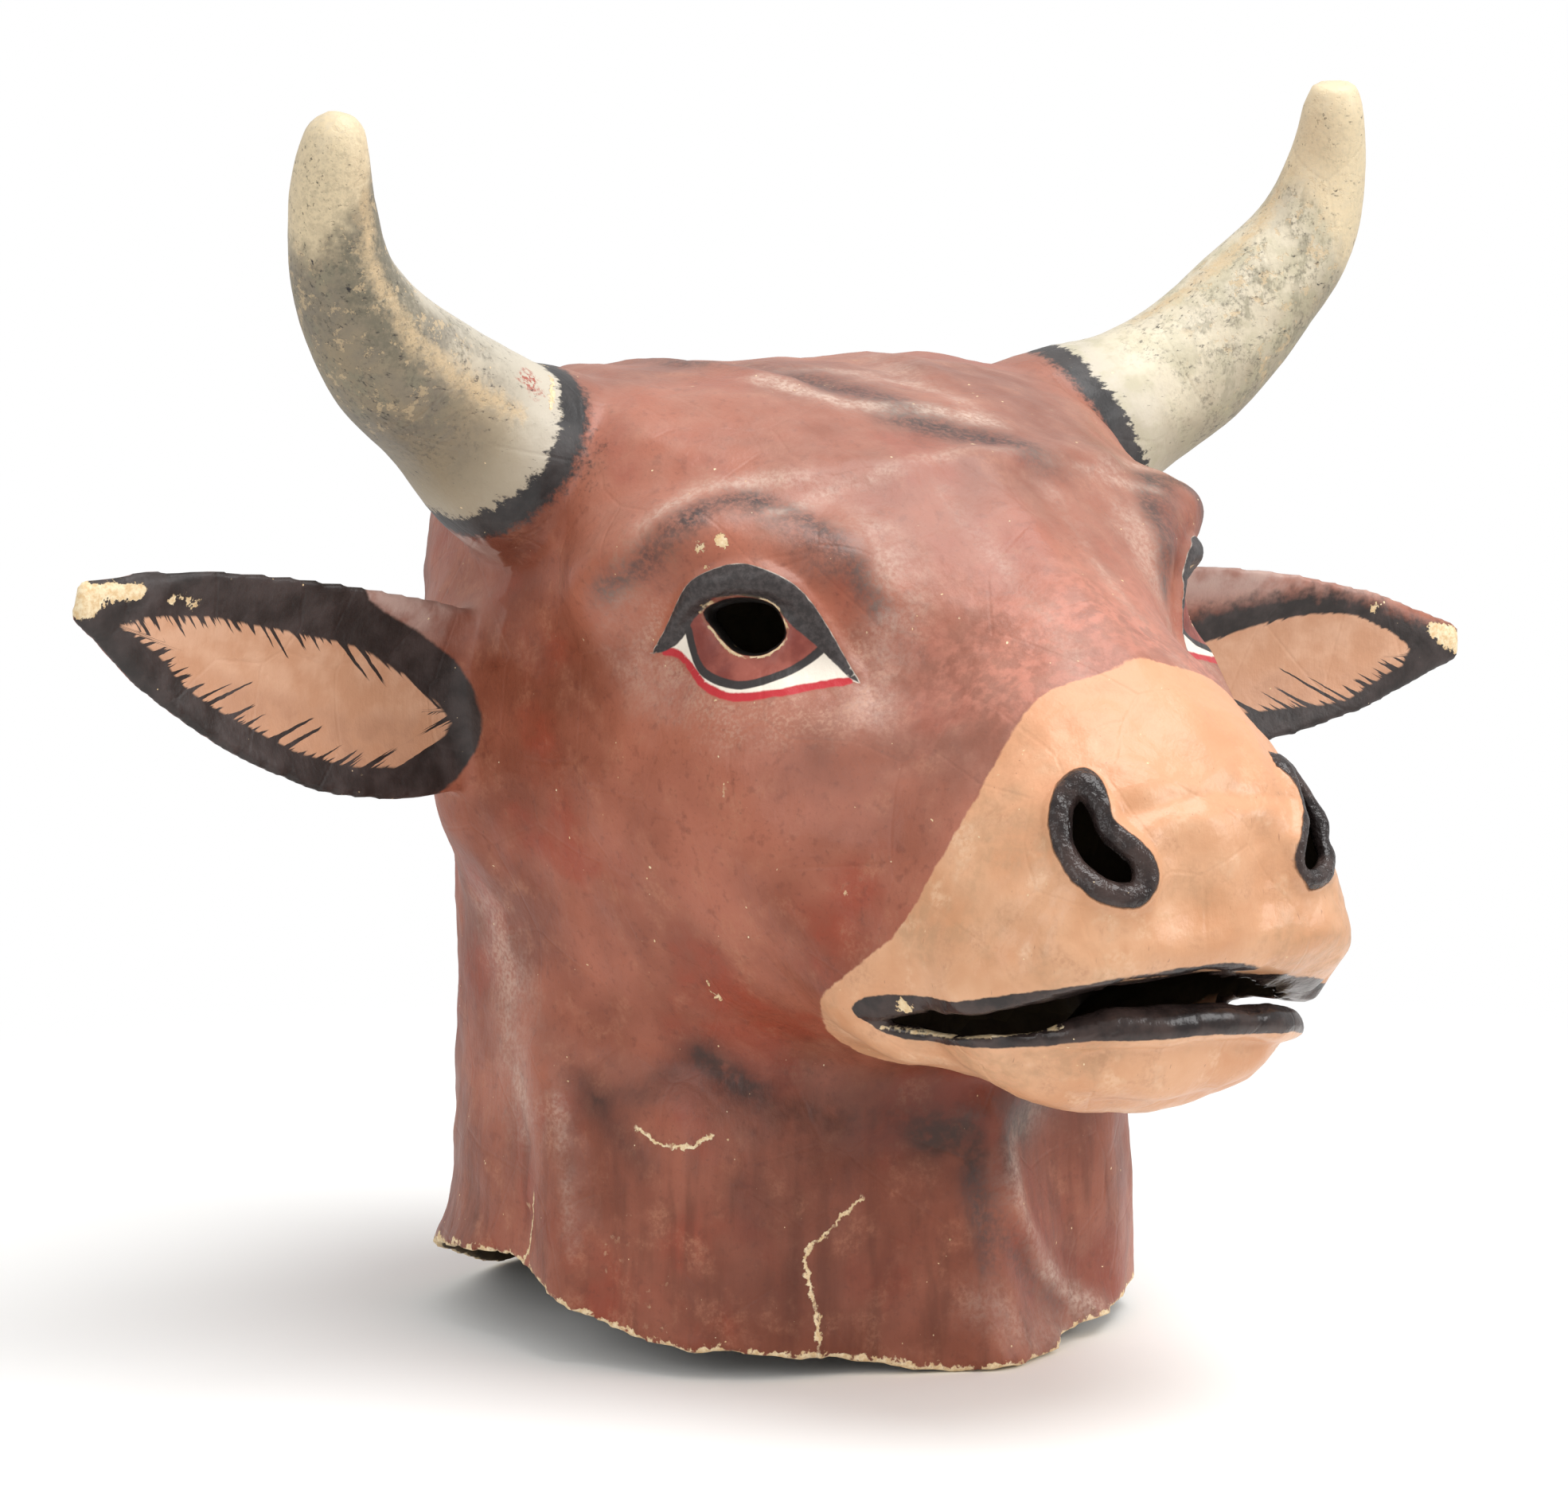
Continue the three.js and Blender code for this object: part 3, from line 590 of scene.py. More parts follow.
def mouth_slit_form(name):
    profile = np.vstack([curve_through(MOUTH_UPPER, 6), curve_through(MOUTH_LOWER, 6)[::-1]])

    def lay(place, end):
        return np.stack([end * MOUTH_WIDTH / 2, -place[:, 0], place[:, 1]], -1)

    piece = plug(name, profile, lay)
    select_only(piece)
    bpy.ops.object.mode_set(mode="EDIT")
    bpy.ops.mesh.select_all(action="SELECT")
    bpy.ops.mesh.bisect(plane_co=TO_BOX_MIDDLE * MM, plane_no=(1, 0, 0))
    bpy.ops.object.mode_set(mode="OBJECT")
    points = points_of(piece)
    points[:, 2] -= MOUTH_DROOP * points[:, 0].clip(0)
    place_points(piece, points)
    return piece


def rim_height(points):
    """How high the rim is in a point's direction, torn a millimetre or two higher in small waves."""
    turn = np.arctan2(points[:, 0], -points[:, 1])
    degrees = np.degrees(np.abs(turn))
    smooth = sum(np.interp(degrees + d, *RIM_HEIGHTS.T) for d in (-RIM_CORNER, 0, RIM_CORNER)) / 3
    ragged = sum(high * np.sin(waves * turn + start) for high, waves, start in RIM_WAVES)
    return smooth + RIM_TORN * (ragged + RIM_TORN_SHARE).clip(0)


def below_rim_form(name):
    """A flat ring whose top is the rim, to cut the neck off."""
    bpy.ops.mesh.primitive_torus_add(
        major_segments=RIM_SQUARES, minor_segments=4, major_radius=1, minor_radius=0.25
    )
    piece, plain = primitive(name)
    section_turn = np.arctan2(plain[:, 2], np.hypot(plain[:, 0], plain[:, 1]) - 1)
    corner = np.rint(section_turn / (math.pi / 2)).astype(int) % 4
    radius = np.array(BELOW_RIM_RADII)[corner]
    points = np.hstack([unit(plain[:, :2]) * radius[:, None], np.zeros((len(plain), 1))])
    points[:, 2] = np.where(corner < 2, rim_height(points), 3 * BELOW_RIM)
    place_points(piece, points)
    face_outwards(piece)
    return piece


def combine(piece, other, operation):
    modifier = piece.modifiers.new(operation, "BOOLEAN")
    modifier.operation = operation
    modifier.solver = "MANIFOLD"
    modifier.object = other
    bpy.context.view_layer.objects.active = piece
    bpy.ops.object.modifier_apply(modifier=modifier.name)
    bpy.data.objects.remove(other)


def apply_modifier(piece, kind, **settings):
    modifier = piece.modifiers.new(kind, kind)
    for name, value in settings.items():
        setattr(modifier, name, value)
    bpy.context.view_layer.objects.active = piece
    bpy.ops.object.modifier_apply(modifier=modifier.name)


def surface_of(*pieces):
    """The surfaces of pieces, kept for measuring how far points are from them."""
    points, faces = [], []
    for piece in pieces:
        first = len(points)
        points.extend(Vector(p) for p in points_of(piece))
        faces.extend([first + v for v in face.vertices] for face in piece.data.polygons)
    return BVHTree.FromPolygons(points, faces)


def distance_from(surface, points, most=1e3):
    found = (surface.find_nearest(Vector(p), most)[3] for p in points)
    return np.array([most if d is None else d for d in found])


def weigh(piece, name, weights):
    """A vertex group with its weights in steps of a tenth."""
    group = piece.vertex_groups.new(name=name)
    steps = np.rint(np.clip(weights, 0, 1) * 10).astype(int)
    for step in range(1, 11):
        chosen = np.flatnonzero(steps == step)
        if len(chosen):
            group.add(chosen.tolist(), step / 10, "REPLACE")
    return name


# The shell is joined and cut in the order a maker builds it up: head, horns, ears, eyes, nostrils, mouth
mask = head_form("mask", 0)
head_skin = surface_of(mask)
limbs = [horn_form("horn", side, HORNS[side], 0) for side in (RIGHT, LEFT)]
limbs += [ear_form("ear", side) for side in (RIGHT, LEFT)]
limb_skin = surface_of(*limbs)
for limb in limbs:
    combine(mask, limb, "UNION")
for side in (RIGHT, LEFT):
    combine(mask, eyeball_form("eyeball", side), "UNION")
    combine(mask, lid_form("lid", side), "UNION")
nostrils = [nostril_forms(side) for side in (RIGHT, LEFT)]
for hole, _ in nostrils:
    combine(mask, hole, "DIFFERENCE")
for _, rim in nostrils:
    combine(mask, rim, "UNION")
for side in (RIGHT, LEFT):
    combine(mask, hole_form("eye_hole", EYE_PLANES[side], closed_curve(EYE_HOLE_OUTLINE, 8)), "DIFFERENCE")
combine(mask, mouth_slit_form("mouth_slit"), "DIFFERENCE")
combine(mask, lip_form("lower_lip"), "UNION")
outer_skin = surface_of(mask)
hollows = [head_form("hollow", WALL)]
hollows += [horn_form("horn_hollow", side, HORNS[side][:-HORN_TIP_ROWS], WALL) for side in (RIGHT, LEFT)]
inner_skin = surface_of(*hollows)
for hollow in hollows:
    combine(mask, hollow, "DIFFERENCE")
combine(mask, below_rim_form("below_rim"), "DIFFERENCE")

# The skin is laid again in even squares, and its joins are worked smooth as wet paper is
apply_modifier(mask, "REMESH", mode="VOXEL", voxel_size=SQUARE * MM)
points = points_of(mask)
sides = np.abs(points[:, 0]) > JOINS_BEYOND
seam = np.zeros(len(points))
from_skins = [distance_from(skin_kept, points[sides], SEARCH_REACH) for skin_kept in (head_skin, limb_skin)]
seam[sides] = 1.2 - np.maximum(*from_skins) / SEAM_REACH
apply_modifier(mask, "SMOOTH", factor=0.5, iterations=SEAM_TURNS, vertex_group=weigh(mask, "seam", seam))
apply_modifier(mask, "SMOOTH", factor=0.5, iterations=ALL_TURNS)
points = points_of(mask)
ears = (np.abs(points[:, 0]) > EARS_BEYOND) & (points[:, 2] < EARS_BELOW)
apply_modifier(mask, "SMOOTH", factor=0.5, iterations=EAR_TURNS, vertex_group=weigh(mask, "ears", ears * 1.0))

points = points_of(mask)
on_muzzle = -points[:, 1] > np.interp(points[:, 2], *STIFF_MUZZLE.T)
firm = np.where(np.abs(points[:, 0]) > LIMBS_BEYOND, LIMBS_UNEVEN, 1.0)
creased = firm * np.where(on_muzzle, 1.0, SKIN_CREASED)
groups = {"firm": weigh(mask, "firm", firm), "creased": weigh(mask, "creased", creased)}
for name, kind, size, high, group in UNEVENNESS:
    texture = bpy.data.textures.new(name, kind)
    texture.noise_scale = size * MM
    apply_modifier(
        mask, "DISPLACE", texture=texture, texture_coords="LOCAL", strength=high * MM, mid_level=0.5,
        vertex_group=groups[group],
    )

# Thinned, least round eyes and nostrils
points = points_of(mask)
detail = np.zeros(len(points))
for planes, reach in ((EYE_PLANES, EYE_DETAIL), (NOSTRIL_PLANES, NOSTRIL_DETAIL)):
    for plane in planes.values():
        detail = np.maximum(detail, 1.5 - np.linalg.norm(points - plane.middle, axis=1) / reach)
apply_modifier(
    mask, "DECIMATE", ratio=min(1, MOST_TRIANGLES / (2 * len(mask.data.polygons))),
    vertex_group=weigh(mask, "plain", 1 - 0.8 * detail.clip(0, 1)), vertex_group_factor=0.3,
)
mask.vertex_groups.clear()
select_only(mask)
bpy.ops.object.shade_smooth()
mask.select_set(False)

# Places of the painted forms. Eye plane: [towards the nose, up]
LID_OUTER = [
    [-47, -15], [-43, -13], [-31, 3], [-21, 16], [-8, 23], [3, 25], [17, 21], [27, 14], [36, 1], [44, -12],
    [52, -23],
]
LID_INNER = [
    [47, -21], [41, -16], [34, -10], [28, -5], [22, 0], [11, 10], [0, 12], [-11, 10], [-22, 1], [-25, -4],
    [-31, -10], [-38, -13.5],
]
RED_LINE = [
    [-37, -13], [-30, -14], [-22, -20], [-15, -26], [-7, -29.5], [1, -31], [10, -30.5], [22, -28],
    [35, -24.5], [47, -22],
]
IRIS_TOP = [[22, 12], [-22, 12]]
IRIS_LINE = [[-25, -3], [-23, -11], [-18, -19], [-9, -24], [4, -26], [18, -21.5], [27, -15.5], [34, -9]]
# Nostril plane
NOSTRIL_BLACK = [
    [2, 36], [8, 30], [10, 20], [12, 11], [21, 3], [29, -7], [28, -17], [21, -24],
    [13, -25], [2, -22], [-7, -13], [-13, -2], [-15, 12], [-12, 24], [-7, 32],
]
# Edge of the muzzle's peach coat as [up, forward], and the black of the lips as [forward, up]
MUZZLE_EDGE = [
    [-20, 185], [110, 180], [126, 172], [134, 160], [141, 153], [148, 150], [156, 152], [165, 162],
    [175, 180], [187, 198], [197, 212], [209, 225], [223, 236], [247, 247], [269, 252], [291, 251],
    [309, 249], [318, 256], [420, 262],
]
LIP_TOP = [[204, 176], [206, 180], [212, 183], [223, 185], [262, 187], [293, 194], [307, 197], [314, 201]]
LIP_BOTTOM = [[204, 174], [206, 169], [212, 166], [220, 164], [245, 165], [279, 168], [295, 171], [306, 169]]
# How far forward the corner of the lips is, and between which places the slit's lower edge is worn
LIP_CORNER, SLIT_PAINT = 204, (205, 288)
# The horn's band lies between two planes square to this direction [out, forward, up]
HORN_WAY = unit(np.array([0.836, 0.209, 0.508]))
BAND_START = 336.0
# Ear, in its own plane: [along, height]
EAR_TAN = {
    RIGHT: [
        [38, -6], [34.5, -11], [37.5, -15], [44.5, -22], [56, -29], [68, -30.5], [87, -32], [102, -31],
        [118, -30.5], [134, -28], [150, -25], [169, -22], [186, -18], [200, -11], [215, -7], [231, -3.5],
        [221.5, 1], [210, 5.5], [194, 10], [178, 14], [165, 15.5], [152, 17], [132, 18.5], [116, 19.5],
        [102, 20], [87, 17.5], [78, 14.5], [64, 10.5], [54.6, 5.5], [45.5, 0.5],
    ],
    LEFT: [
        [40, -5], [38, -15], [70, -26], [110, -28], [135, -27], [160, -26], [179, -25], [193, -19],
        [205, -12.5], [217, -7], [216, 1], [208, 6.5], [202, 10.5], [194, 14], [185, 17.5], [166, 19],
        [141, 16], [114, 9], [90, 3],
    ],
}
EAR_BLACK = {
    RIGHT: [
        [33, -60], [31, -40], [25, -37], [19, -29], [15.6, -20], [15.6, -9.6], [19, -1], [25.5, 8],
        [34, 16], [43, 22], [63, 30.5], [83, 36], [93, 39], [104, 50], [110, 70], [300, 70], [300, -70],
        [33, -70],
    ],
    LEFT: [
        [24, -60], [20, -5], [60, 12], [100, 22], [122, 27], [150, 31], [177, 29], [201, 22], [225, 12],
        [245, 4], [300, 0], [300, -70], [24, -70],
    ],
}
# Seen from the front, places on the ear shift towards its root by this much per millimetre they stand forward
EAR_SEEN_SHIFT = 0.69
EAR_BLACK_SOFT = {RIGHT: 1.0, LEFT: 6.0}
# Chips on the ears: [along, height, radius]
EAR_CHIPS = {
    RIGHT: [
        [248, 1, 8], [240, 7, 3.5], [234, 9, 4], [228, 10.5, 4], [221, 13, 3.5], [203, 14, 2.5], [198, 16, 3],
        [192, 17, 3], [187, 21, 2.5], [160, 22, 1.5], [86, -37, 2.2],
    ],
    LEFT: [[230, 8, 3.5], [238, 4, 6], [246, 0, 6], [197, 20, 2.5], [196, 22, 2]],
}
# Along each horn where its paint is worn to the plaster, as [x, forward, up]
HORN_WEAR = {
    RIGHT: [
        [-263, 60, 541], [-261, 64, 528], [-255, 59, 506], [-251, 57, 484], [-240, 55, 466], [-227, 54, 451],
        [-210, 51, 439], [-193, 49, 429], [-175, 47, 419],
    ],
    LEFT: [[266, 55, 541], [265, 40, 522], [257, 33, 502], [233, 31, 478], [215, 23, 464], [193, 15, 450]],
}
RED_SMUDGE = [-164, 40, 432]
# Soft dark shading: darkness, width and places, painted on both sides
SHADING = [
    (0.8, 8, [[157, 90, 345], [152, 103, 355], [145, 117, 367], [136, 123, 378]]),
    (0.8, 7, [[136, 123, 378], [116, 124, 385], [107, 128, 384]]),
    (0.85, 7, [[107, 129, 383], [94, 144, 377], [87, 158, 367], [82, 170, 354], [77, 177, 340]]),
    (0.55, 8, [[112, 132, 378], [102, 146, 369], [92, 162, 358]]),
    (0.35, 8, [[140, 112, 352], [128, 122, 356], [112, 134, 360], [100, 148, 355]]),
]
# Painted shade in dark brown under the jaw, down the throat and in the hollows
JAW_SHADING = [
    (0.85, 8, [[111, 93, 143], [106, 101, 135], [98, 110, 128]]),
    (0.7, 9, [[140, 52, 117], [131, 73, 123], [119, 86, 136], [109, 96, 141]]),
    (0.65, 7, [[142, 45, 125], [138, 58, 112], [134, 71, 100], [131, 79, 92]]),
    (0.75, 19, [[106, 106, 128], [82, 124, 117], [49, 137, 111], [22, 147, 105]]),
    (0.55, 22, [[78, 128, 136], [44, 142, 128], [10, 150, 118]]),
    (0.95, 11, [[25, 145, 103], [8, 152, 102], [8, 154, 86]]),
    (0.5, 8, [[105, 115, 86], [101, 120, 66]]),
    (0.4, 30, [[84, 127, 89], [86, 130, 48], [52, 141, 31]]),
    (0.45, 12, [[152, -10, 320], [151, -2, 280], [150, -8, 240]]),
    (0.5, 10, [[150, -60, 250], [150, -20, 262], [150, 0, 250]]),
    (0.35, 16, [[150, 40, 440], [168, 30, 380], [160, 20, 360]]),
]
# Painted highlights in pale grey-pink along the tops of brows and ridges
PAINTED_HIGHLIGHTS = [
    (0.6, 5, [[152, 98, 360], [140, 110, 380], [122, 111, 388], [95, 122, 391], [76, 134, 390]]),
    (0.55, 4, [[104, 138, 380], [63, 140, 390], [21, 141, 398], [0, 141, 399]]),
    (0.35, 5, [[28, 157, 385], [25, 198, 353], [23, 233, 329], [29, 264, 305]]),
    (0.45, 12, [[71, 159, 372], [68, 177, 354], [75, 183, 327], [91, 188, 301]]),
    (0.3, 12, [[151, 92, 338], [143, 94, 315], [139, 118, 303]]),
    (0.5, 18, [[148, -24, 191], [146, -7, 157], [146, 0, 122], [149, 10, 106]]),
    (0.45, 4, [[147, 34, 117], [147, 40, 96], [148, 45, 76], [148, 49, 55]]),
]
# Shading that lies across the forehead, and painted shade in the creases of the throat, not mirrored, as [x,
# forward, up]
STRIPE = [
    (0.8, 13, [[-60, 5, 435], [-43, 23, 433], [-29, 45, 431], [-16, 75, 425], [-1, 100, 417]]),
    (0.95, 12, [[-14, 104, 414], [-11, 108, 413], [5, 120, 408], [21, 131, 402], [31, 140, 396]]),
    (0.35, 14, [[-58, -20, 436], [-30, 0, 435], [-10, 40, 431]]),
    (0.75, 5, [[-8, 154, 85], [-7, 157, 64], [-4, 159, 46]]),
    (0.5, 7, [[-3, 157, 78], [5, 158, 59], [22, 154, 38], [47, 144, 19]]),
    (0.5, 5, [[-10, 152, 113], [4, 153, 115]]),
]
# Painted highlights that are not mirrored
OWN_PAINTED_HIGHLIGHTS = [
    (0.85, 6.5, [[-51, 55, 429], [-28, 91, 420], [9, 101, 416], [28, 114, 410]]),
    (0.5, 6, [[-20, 30, 433], [23, 62, 428], [30, 106, 414]]),
    (0.35, 12, [[10, 60, 429], [40, 30, 431], [60, -10, 433]]),
    (0.85, 4.5, [[14, 150, 96], [12, 153, 79], [17, 153, 64], [32, 149, 43], [53, 142, 25], [80, 134, 9]]),
    (0.3, 9, [[35, 142, 106], [14, 150, 96], [10, 154, 79]]),
    (0.35, 10, [[-7, 159, 29], [20, 156, 12], [64, 140, 7]]),
]
# Where paint is chipped off, as [x, forward, up, radius]
CHIPS = [
    [-121, 116, 179, 2.2], [-117, 113, 170, 2.8], [-99, 226, 180, 4], [-134, 128, 366, 3.6],
    [-128, 135, 368, 2.8], [-132, 130, 357, 1.6], [-154, 43, 424, 2], [-148, 32, 433, 2.2],
    [-150, 45, 418, 1.8], [-72, 136, 26, 2], [-21, 153, 57, 1.5],
]
# Hair cracks down to the paper, as [x, forward, up]
CRACKS = [
    [[-59, 136, 76], [-76, 133, 63], [-83, 131, 55], [-82, 132, 44], [-78, 133, 33], [-77, 134, 14]],
    [[-130, 78, 106], [-126, 87, 102], [-120, 97, 102], [-115, 102, 106]],
    [[-145, 20, 70], [-146, 14, 52], [-147, 8, 40]],
    [[-154, 43, 424], [-150, 38, 430]],
]

names_noted = []


def note(name, values):
    """Writes a number for each point of the mask, for the paint to read."""
    attribute = mask.data.attributes.new(name, "FLOAT", "POINT")
    attribute.data.foreach_set("value", np.asarray(values, np.float32))
    names_noted.append(name)


def note_beside(name, planes, limits, distance, outline):
    """Notes how far points lie from an outline in both sides' planes, within limits of depth and reach."""
    depth, reach = limits
    values = np.full(len(points), FAR)
    for plane in planes.values():
        flat = plane.flat(points)
        near = (np.abs(flat[:, 2]) < depth) & (np.hypot(flat[:, 0], flat[:, 1]) < reach)
        values[near] = distance(flat[near, :2], outline)
    note(name, values)


points, normals = points_of(mask), vectors_of(mask, "normal")
own_side = points * [1, -1, 1]
mirrored = own_side.copy()
mirrored[:, 0] = np.abs(mirrored[:, 0])

through = distance_from(outer_skin, points, SEARCH_REACH) - distance_from(inner_skin, points, SEARCH_REACH)
note("through_wall", through / WALL)
note("above_rim", points[:, 2] - rim_height(points))
note("faces_up", normals[:, 2])

lid_outer, red_line, iris_line = (curve_through(places, 6) for places in (LID_OUTER, RED_LINE, IRIS_LINE))
note_beside("lid", EYE_PLANES, EYE_PAINT, distance_to_area, np.vstack([lid_outer, LID_INNER]))
note_beside("eyeball", EYE_PLANES, EYE_PAINT, distance_to_area, np.vstack([red_line, lid_outer[::-1]]))
note_beside("iris", EYE_PLANES, EYE_PAINT, distance_to_area, np.vstack([iris_line, IRIS_TOP]))
note_beside("eye_hole", EYE_PLANES, EYE_PAINT, distance_to_area, closed_curve(EYE_HOLE_OUTLINE, 4))
note_beside("iris_line", EYE_PLANES, EYE_PAINT, distance_to_line, iris_line)
note_beside("red_line", EYE_PLANES, EYE_PAINT, distance_to_line, red_line)
note_beside("nostril", NOSTRIL_PLANES, NOSTRIL_PAINT, distance_to_area, closed_curve(NOSTRIL_BLACK))

side_view = mirrored[:, [2, 1]]
edge = np.array(MUZZLE_EDGE, float)
beyond = side_view[:, 1] - np.interp(side_view[:, 0], *edge.T)
note("muzzle", np.sign(beyond) * np.minimum(distance_to_line(side_view, edge), np.abs(beyond)))
drooped = points[:, 2] + MOUTH_DROOP * points[:, 0].clip(0)
lip_top, lip_bottom = (np.interp(mirrored[:, 1], *np.array(lip, float).T) for lip in (LIP_TOP, LIP_BOTTOM))
note("lips", np.maximum.reduce([drooped - lip_top, lip_bottom - drooped, LIP_CORNER - mirrored[:, 1]]))
slit_edge = distance_to_line(np.stack([mirrored[:, 1], drooped], -1), curve_through(MOUTH_LOWER, 4))
in_slit = (mirrored[:, 1] > SLIT_PAINT[0]) & (mirrored[:, 1] < SLIT_PAINT[1])
note("slit_edge", np.where(in_slit, slit_edge, FAR))

past_band = mirrored @ HORN_WAY - BAND_START
horn, horn_wear = np.full(len(points), -FAR), np.full(len(points), FAR)
for side in (RIGHT, LEFT):
    rows = curve_through(HORNS[side], 3)
    line, radii = spots(rows[:, :3], side), rows[:, 3]
    here = points[:, 0] * side > HORN_BEYOND
    off = np.full(here.sum(), np.inf)
    for a, b, ra, rb in zip(line[:-1], line[1:], radii[:-1], radii[1:]):
        share = np.clip((points[here] - a) @ (b - a) / ((b - a) @ (b - a)), 0, 1)
        gap = np.linalg.norm(points[here] - a - share[:, None] * (b - a), axis=1) - ra - (rb - ra) * share
        off = np.minimum(off, gap)
    horn[here] = np.minimum(past_band[here], HORN_SKIN - off)
    here &= horn > 0
    horn_wear[here] = distance_to_line(points[here], curve_through(spots(HORN_WEAR[side]), 4))
note("horn", horn)
note("horn_along", np.where(horn > 0, past_band, 0))
note("horn_wear", horn_wear)
note("red_smudge", np.linalg.norm(points - spots(RED_SMUDGE), axis=1))

ear = np.zeros((len(points), 3))
ear_tan, ear_black, chips = np.full((3, len(points)), FAR)
for side in (RIGHT, LEFT):
    start, run, forward, rise, length, sag = ear_axes(side)
    here = (points[:, 0] * side > EAR_BEYOND) & (horn < 0) & (np.abs((points - start) @ forward) < EAR_SKIN)
    gap = points[here] - start
    along = gap @ run
    drop = leaf_at(np.clip(along / length, 0, 1))[0]
    height = gap @ rise + sag * drop
    ear[here] = np.stack([along, height, normals[here] @ forward], -1)
    ear_tan[here] = distance_to_area(np.stack([along, height], -1), closed_curve(EAR_TAN[side], 6))
    seen = along - EAR_SEEN_SHIFT * (gap @ forward)
    ear_black[here] = distance_to_area(np.stack([seen, height], -1), EAR_BLACK[side]) / EAR_BLACK_SOFT[side]
    for u, v, radius in EAR_CHIPS[side]:
        chips[here] = np.minimum(chips[here], np.hypot(along - u, height - v) - radius)
for name, values in zip(("ear_along", "ear_height", "ear_front"), ear.T):
    note(name, values)
note("ear_tan", ear_tan)
note("ear_black", ear_black)


def rubbed_paint_and_painted_light(strokes, seen_as):
    """How much of a soft colour lies on each point, from strokes of strength, width and places: rubbed-in
    paint, and painted light and shade.
    """
    left = np.ones(len(points))
    for strength, width, places in strokes:
        left *= 1 - strength * np.exp(-((distance_to_line(seen_as, curve_through(places, 6)) / width) ** 2))
    return 1 - left


# Grey-black on brows and forehead, with painted shade in the throat's creases
note("brows", 1 - (1 - rubbed_paint_and_painted_light(SHADING, mirrored)) * (1 - rubbed_paint_and_painted_light(STRIPE, own_side)))
note("jaw_shading", rubbed_paint_and_painted_light(JAW_SHADING, mirrored))
note("painted_highlights", 1 - (1 - rubbed_paint_and_painted_light(PAINTED_HIGHLIGHTS, mirrored)) * (1 - rubbed_paint_and_painted_light(OWN_PAINTED_HIGHLIGHTS, own_side)))

for x, f, u, radius in CHIPS:
    chips = np.minimum(chips, np.linalg.norm(own_side - [x, f, u], axis=1) - radius)
note("chips", chips)
across_cracks, cracks = np.full((2, len(points)), FAR)
for places in CRACKS:
    across_one, one = distance_across_line(own_side, normals * [1, -1, 1], curve_through(places, 6))
    across_cracks = np.where(one < cracks, across_one, across_cracks)
    cracks = np.minimum(cracks, one)
note("across_cracks", across_cracks)
note("cracks", cracks)


# Paint. Colours are given in sRGB, turned to linear for the shader
def colour(code):
    values = [int(code[i : i + 2], 16) / 255 for i in (1, 3, 5)]
    return (*[v / 12.92 if v <= 0.04045 else ((v + 0.055) / 1.055) ** 2.4 for v in values], 1.0)


def bare_tree(owner):
    """Empties the node tree of a material or of the world, for the nodes to come."""
    owner.use_nodes = True
    owner.node_tree.nodes.clear()
    return owner.node_tree


def socket(sockets, key):
    """A socket by its name, or by its place among those in use."""
    used = [one for one in sockets if one.enabled]
    return used[key] if isinstance(key, int) else next(one for one in used if one.name == key)


def node(kind, inputs=None, out=0, **settings):
    """Adds a node and gives an output of it. Inputs, by name or place, are values or other nodes' outputs."""
    made = tree.nodes.new("ShaderNode" + kind)
    for name, value in settings.items():
        setattr(made, name, value)
    for key, value in (inputs or {}).items():
        if isinstance(value, bpy.types.NodeSocket):
            tree.links.new(value, socket(made.inputs, key))
        else:
            socket(made.inputs, key).default_value = value
    return None if out is None else socket(made.outputs, out)


def where(*parts):
    """Multiplies parts of a mask. (value, low, high) runs softly from 0 to 1, or between two more numbers."""
    whole = None
    for part in parts:
        if isinstance(part, tuple):
            limits = dict(zip(("Value", "From Min", "From Max", "To Min", "To Max"), part))
            part = node("MapRange", limits, clamp=True, interpolation_type="SMOOTHSTEP")
        whole = part if whole is None else node("Math", {0: whole, 1: part}, operation="MULTIPLY")
    return whole


def either(*masks):
    whole = masks[0]
    for other in masks[1:]:
        whole = node("Math", {0: whole, 1: other}, operation="MAXIMUM")
    return whole


def coats(under, *layers):
    """Lays colours one over another; each layer is a colour and the parts of the mask it is laid through."""
    for over, *parts in layers:
        under, over = (colour(one) if isinstance(one, str) else one for one in (under, over))
        under = node("Mix", {"Factor": where(*parts), "A": under, "B": over}, data_type="RGBA")
    return under


# Casein and oil colour over glued paper, under a thin old varnish: satin, uneven, rubbed at the edges
paint = bpy.data.materials.new("varnished_paint_on_papier_mache")
tree = bare_tree(paint)
place = node("TexCoord", out="Object")
across, height = (node("SeparateXYZ", {0: place}, out=axis) for axis in "XZ")
noted = {name: node("Attribute", out="Fac", attribute_name=name) for name in names_noted}
# Patches of uneven colour: millimetres across, how detailed, how rough, and how drawn out on each axis
PATCHES = {
    "clouds": (95, 4, 0.55), "mottle": (17, 4, 0.55), "brush": (5.5, 3, 0.55), "hairs": (2.3, 3, 0.65),
    "redder": (60, 3, 0.55), "streaks": (9, 3, 0.55, 1, 1, 0.12), "brush_marks": (2.2, 3, 0.55, 1, 1, 0.12),
    "salmon_dabs": (6, 4, 0.6), "salmon_areas": (40, 2, 0.55), "dust": (1.7, 3, 0.55),
    "peach_areas": (34, 3, 0.55), "drab_areas": (50, 4, 0.55), "light_dabs": (23, 4, 0.55),
    "scratches": (1.6, 1, 0.55, 1, 1, 0.12), "nostril_folds": (6.5, 3, 0.55),
    "horn_areas": (15, 3, 0.55), "weathering": (6, 4, 0.65, 1, 1, 0.35), "weather_areas": (24, 3, 0.55),
    "speckle": (2.4, 4, 0.7), "grain_areas": (12, 2, 0.55), "worn_spots": (7, 4, 0.75),
    "bristles": (2, 3, 0.7, 0.3, 1, 0.75), "crack_gaps": (7, 3, 0.55), "hole_gaps": (11, 3, 0.55),
    "slit_gaps": (9, 3, 0.55), "edge_gaps": (4.2, 3, 0.55), "edge_areas": (23, 3, 0.55),
    "flecks": (3.1, 1, 0.55),
}
patch = {}
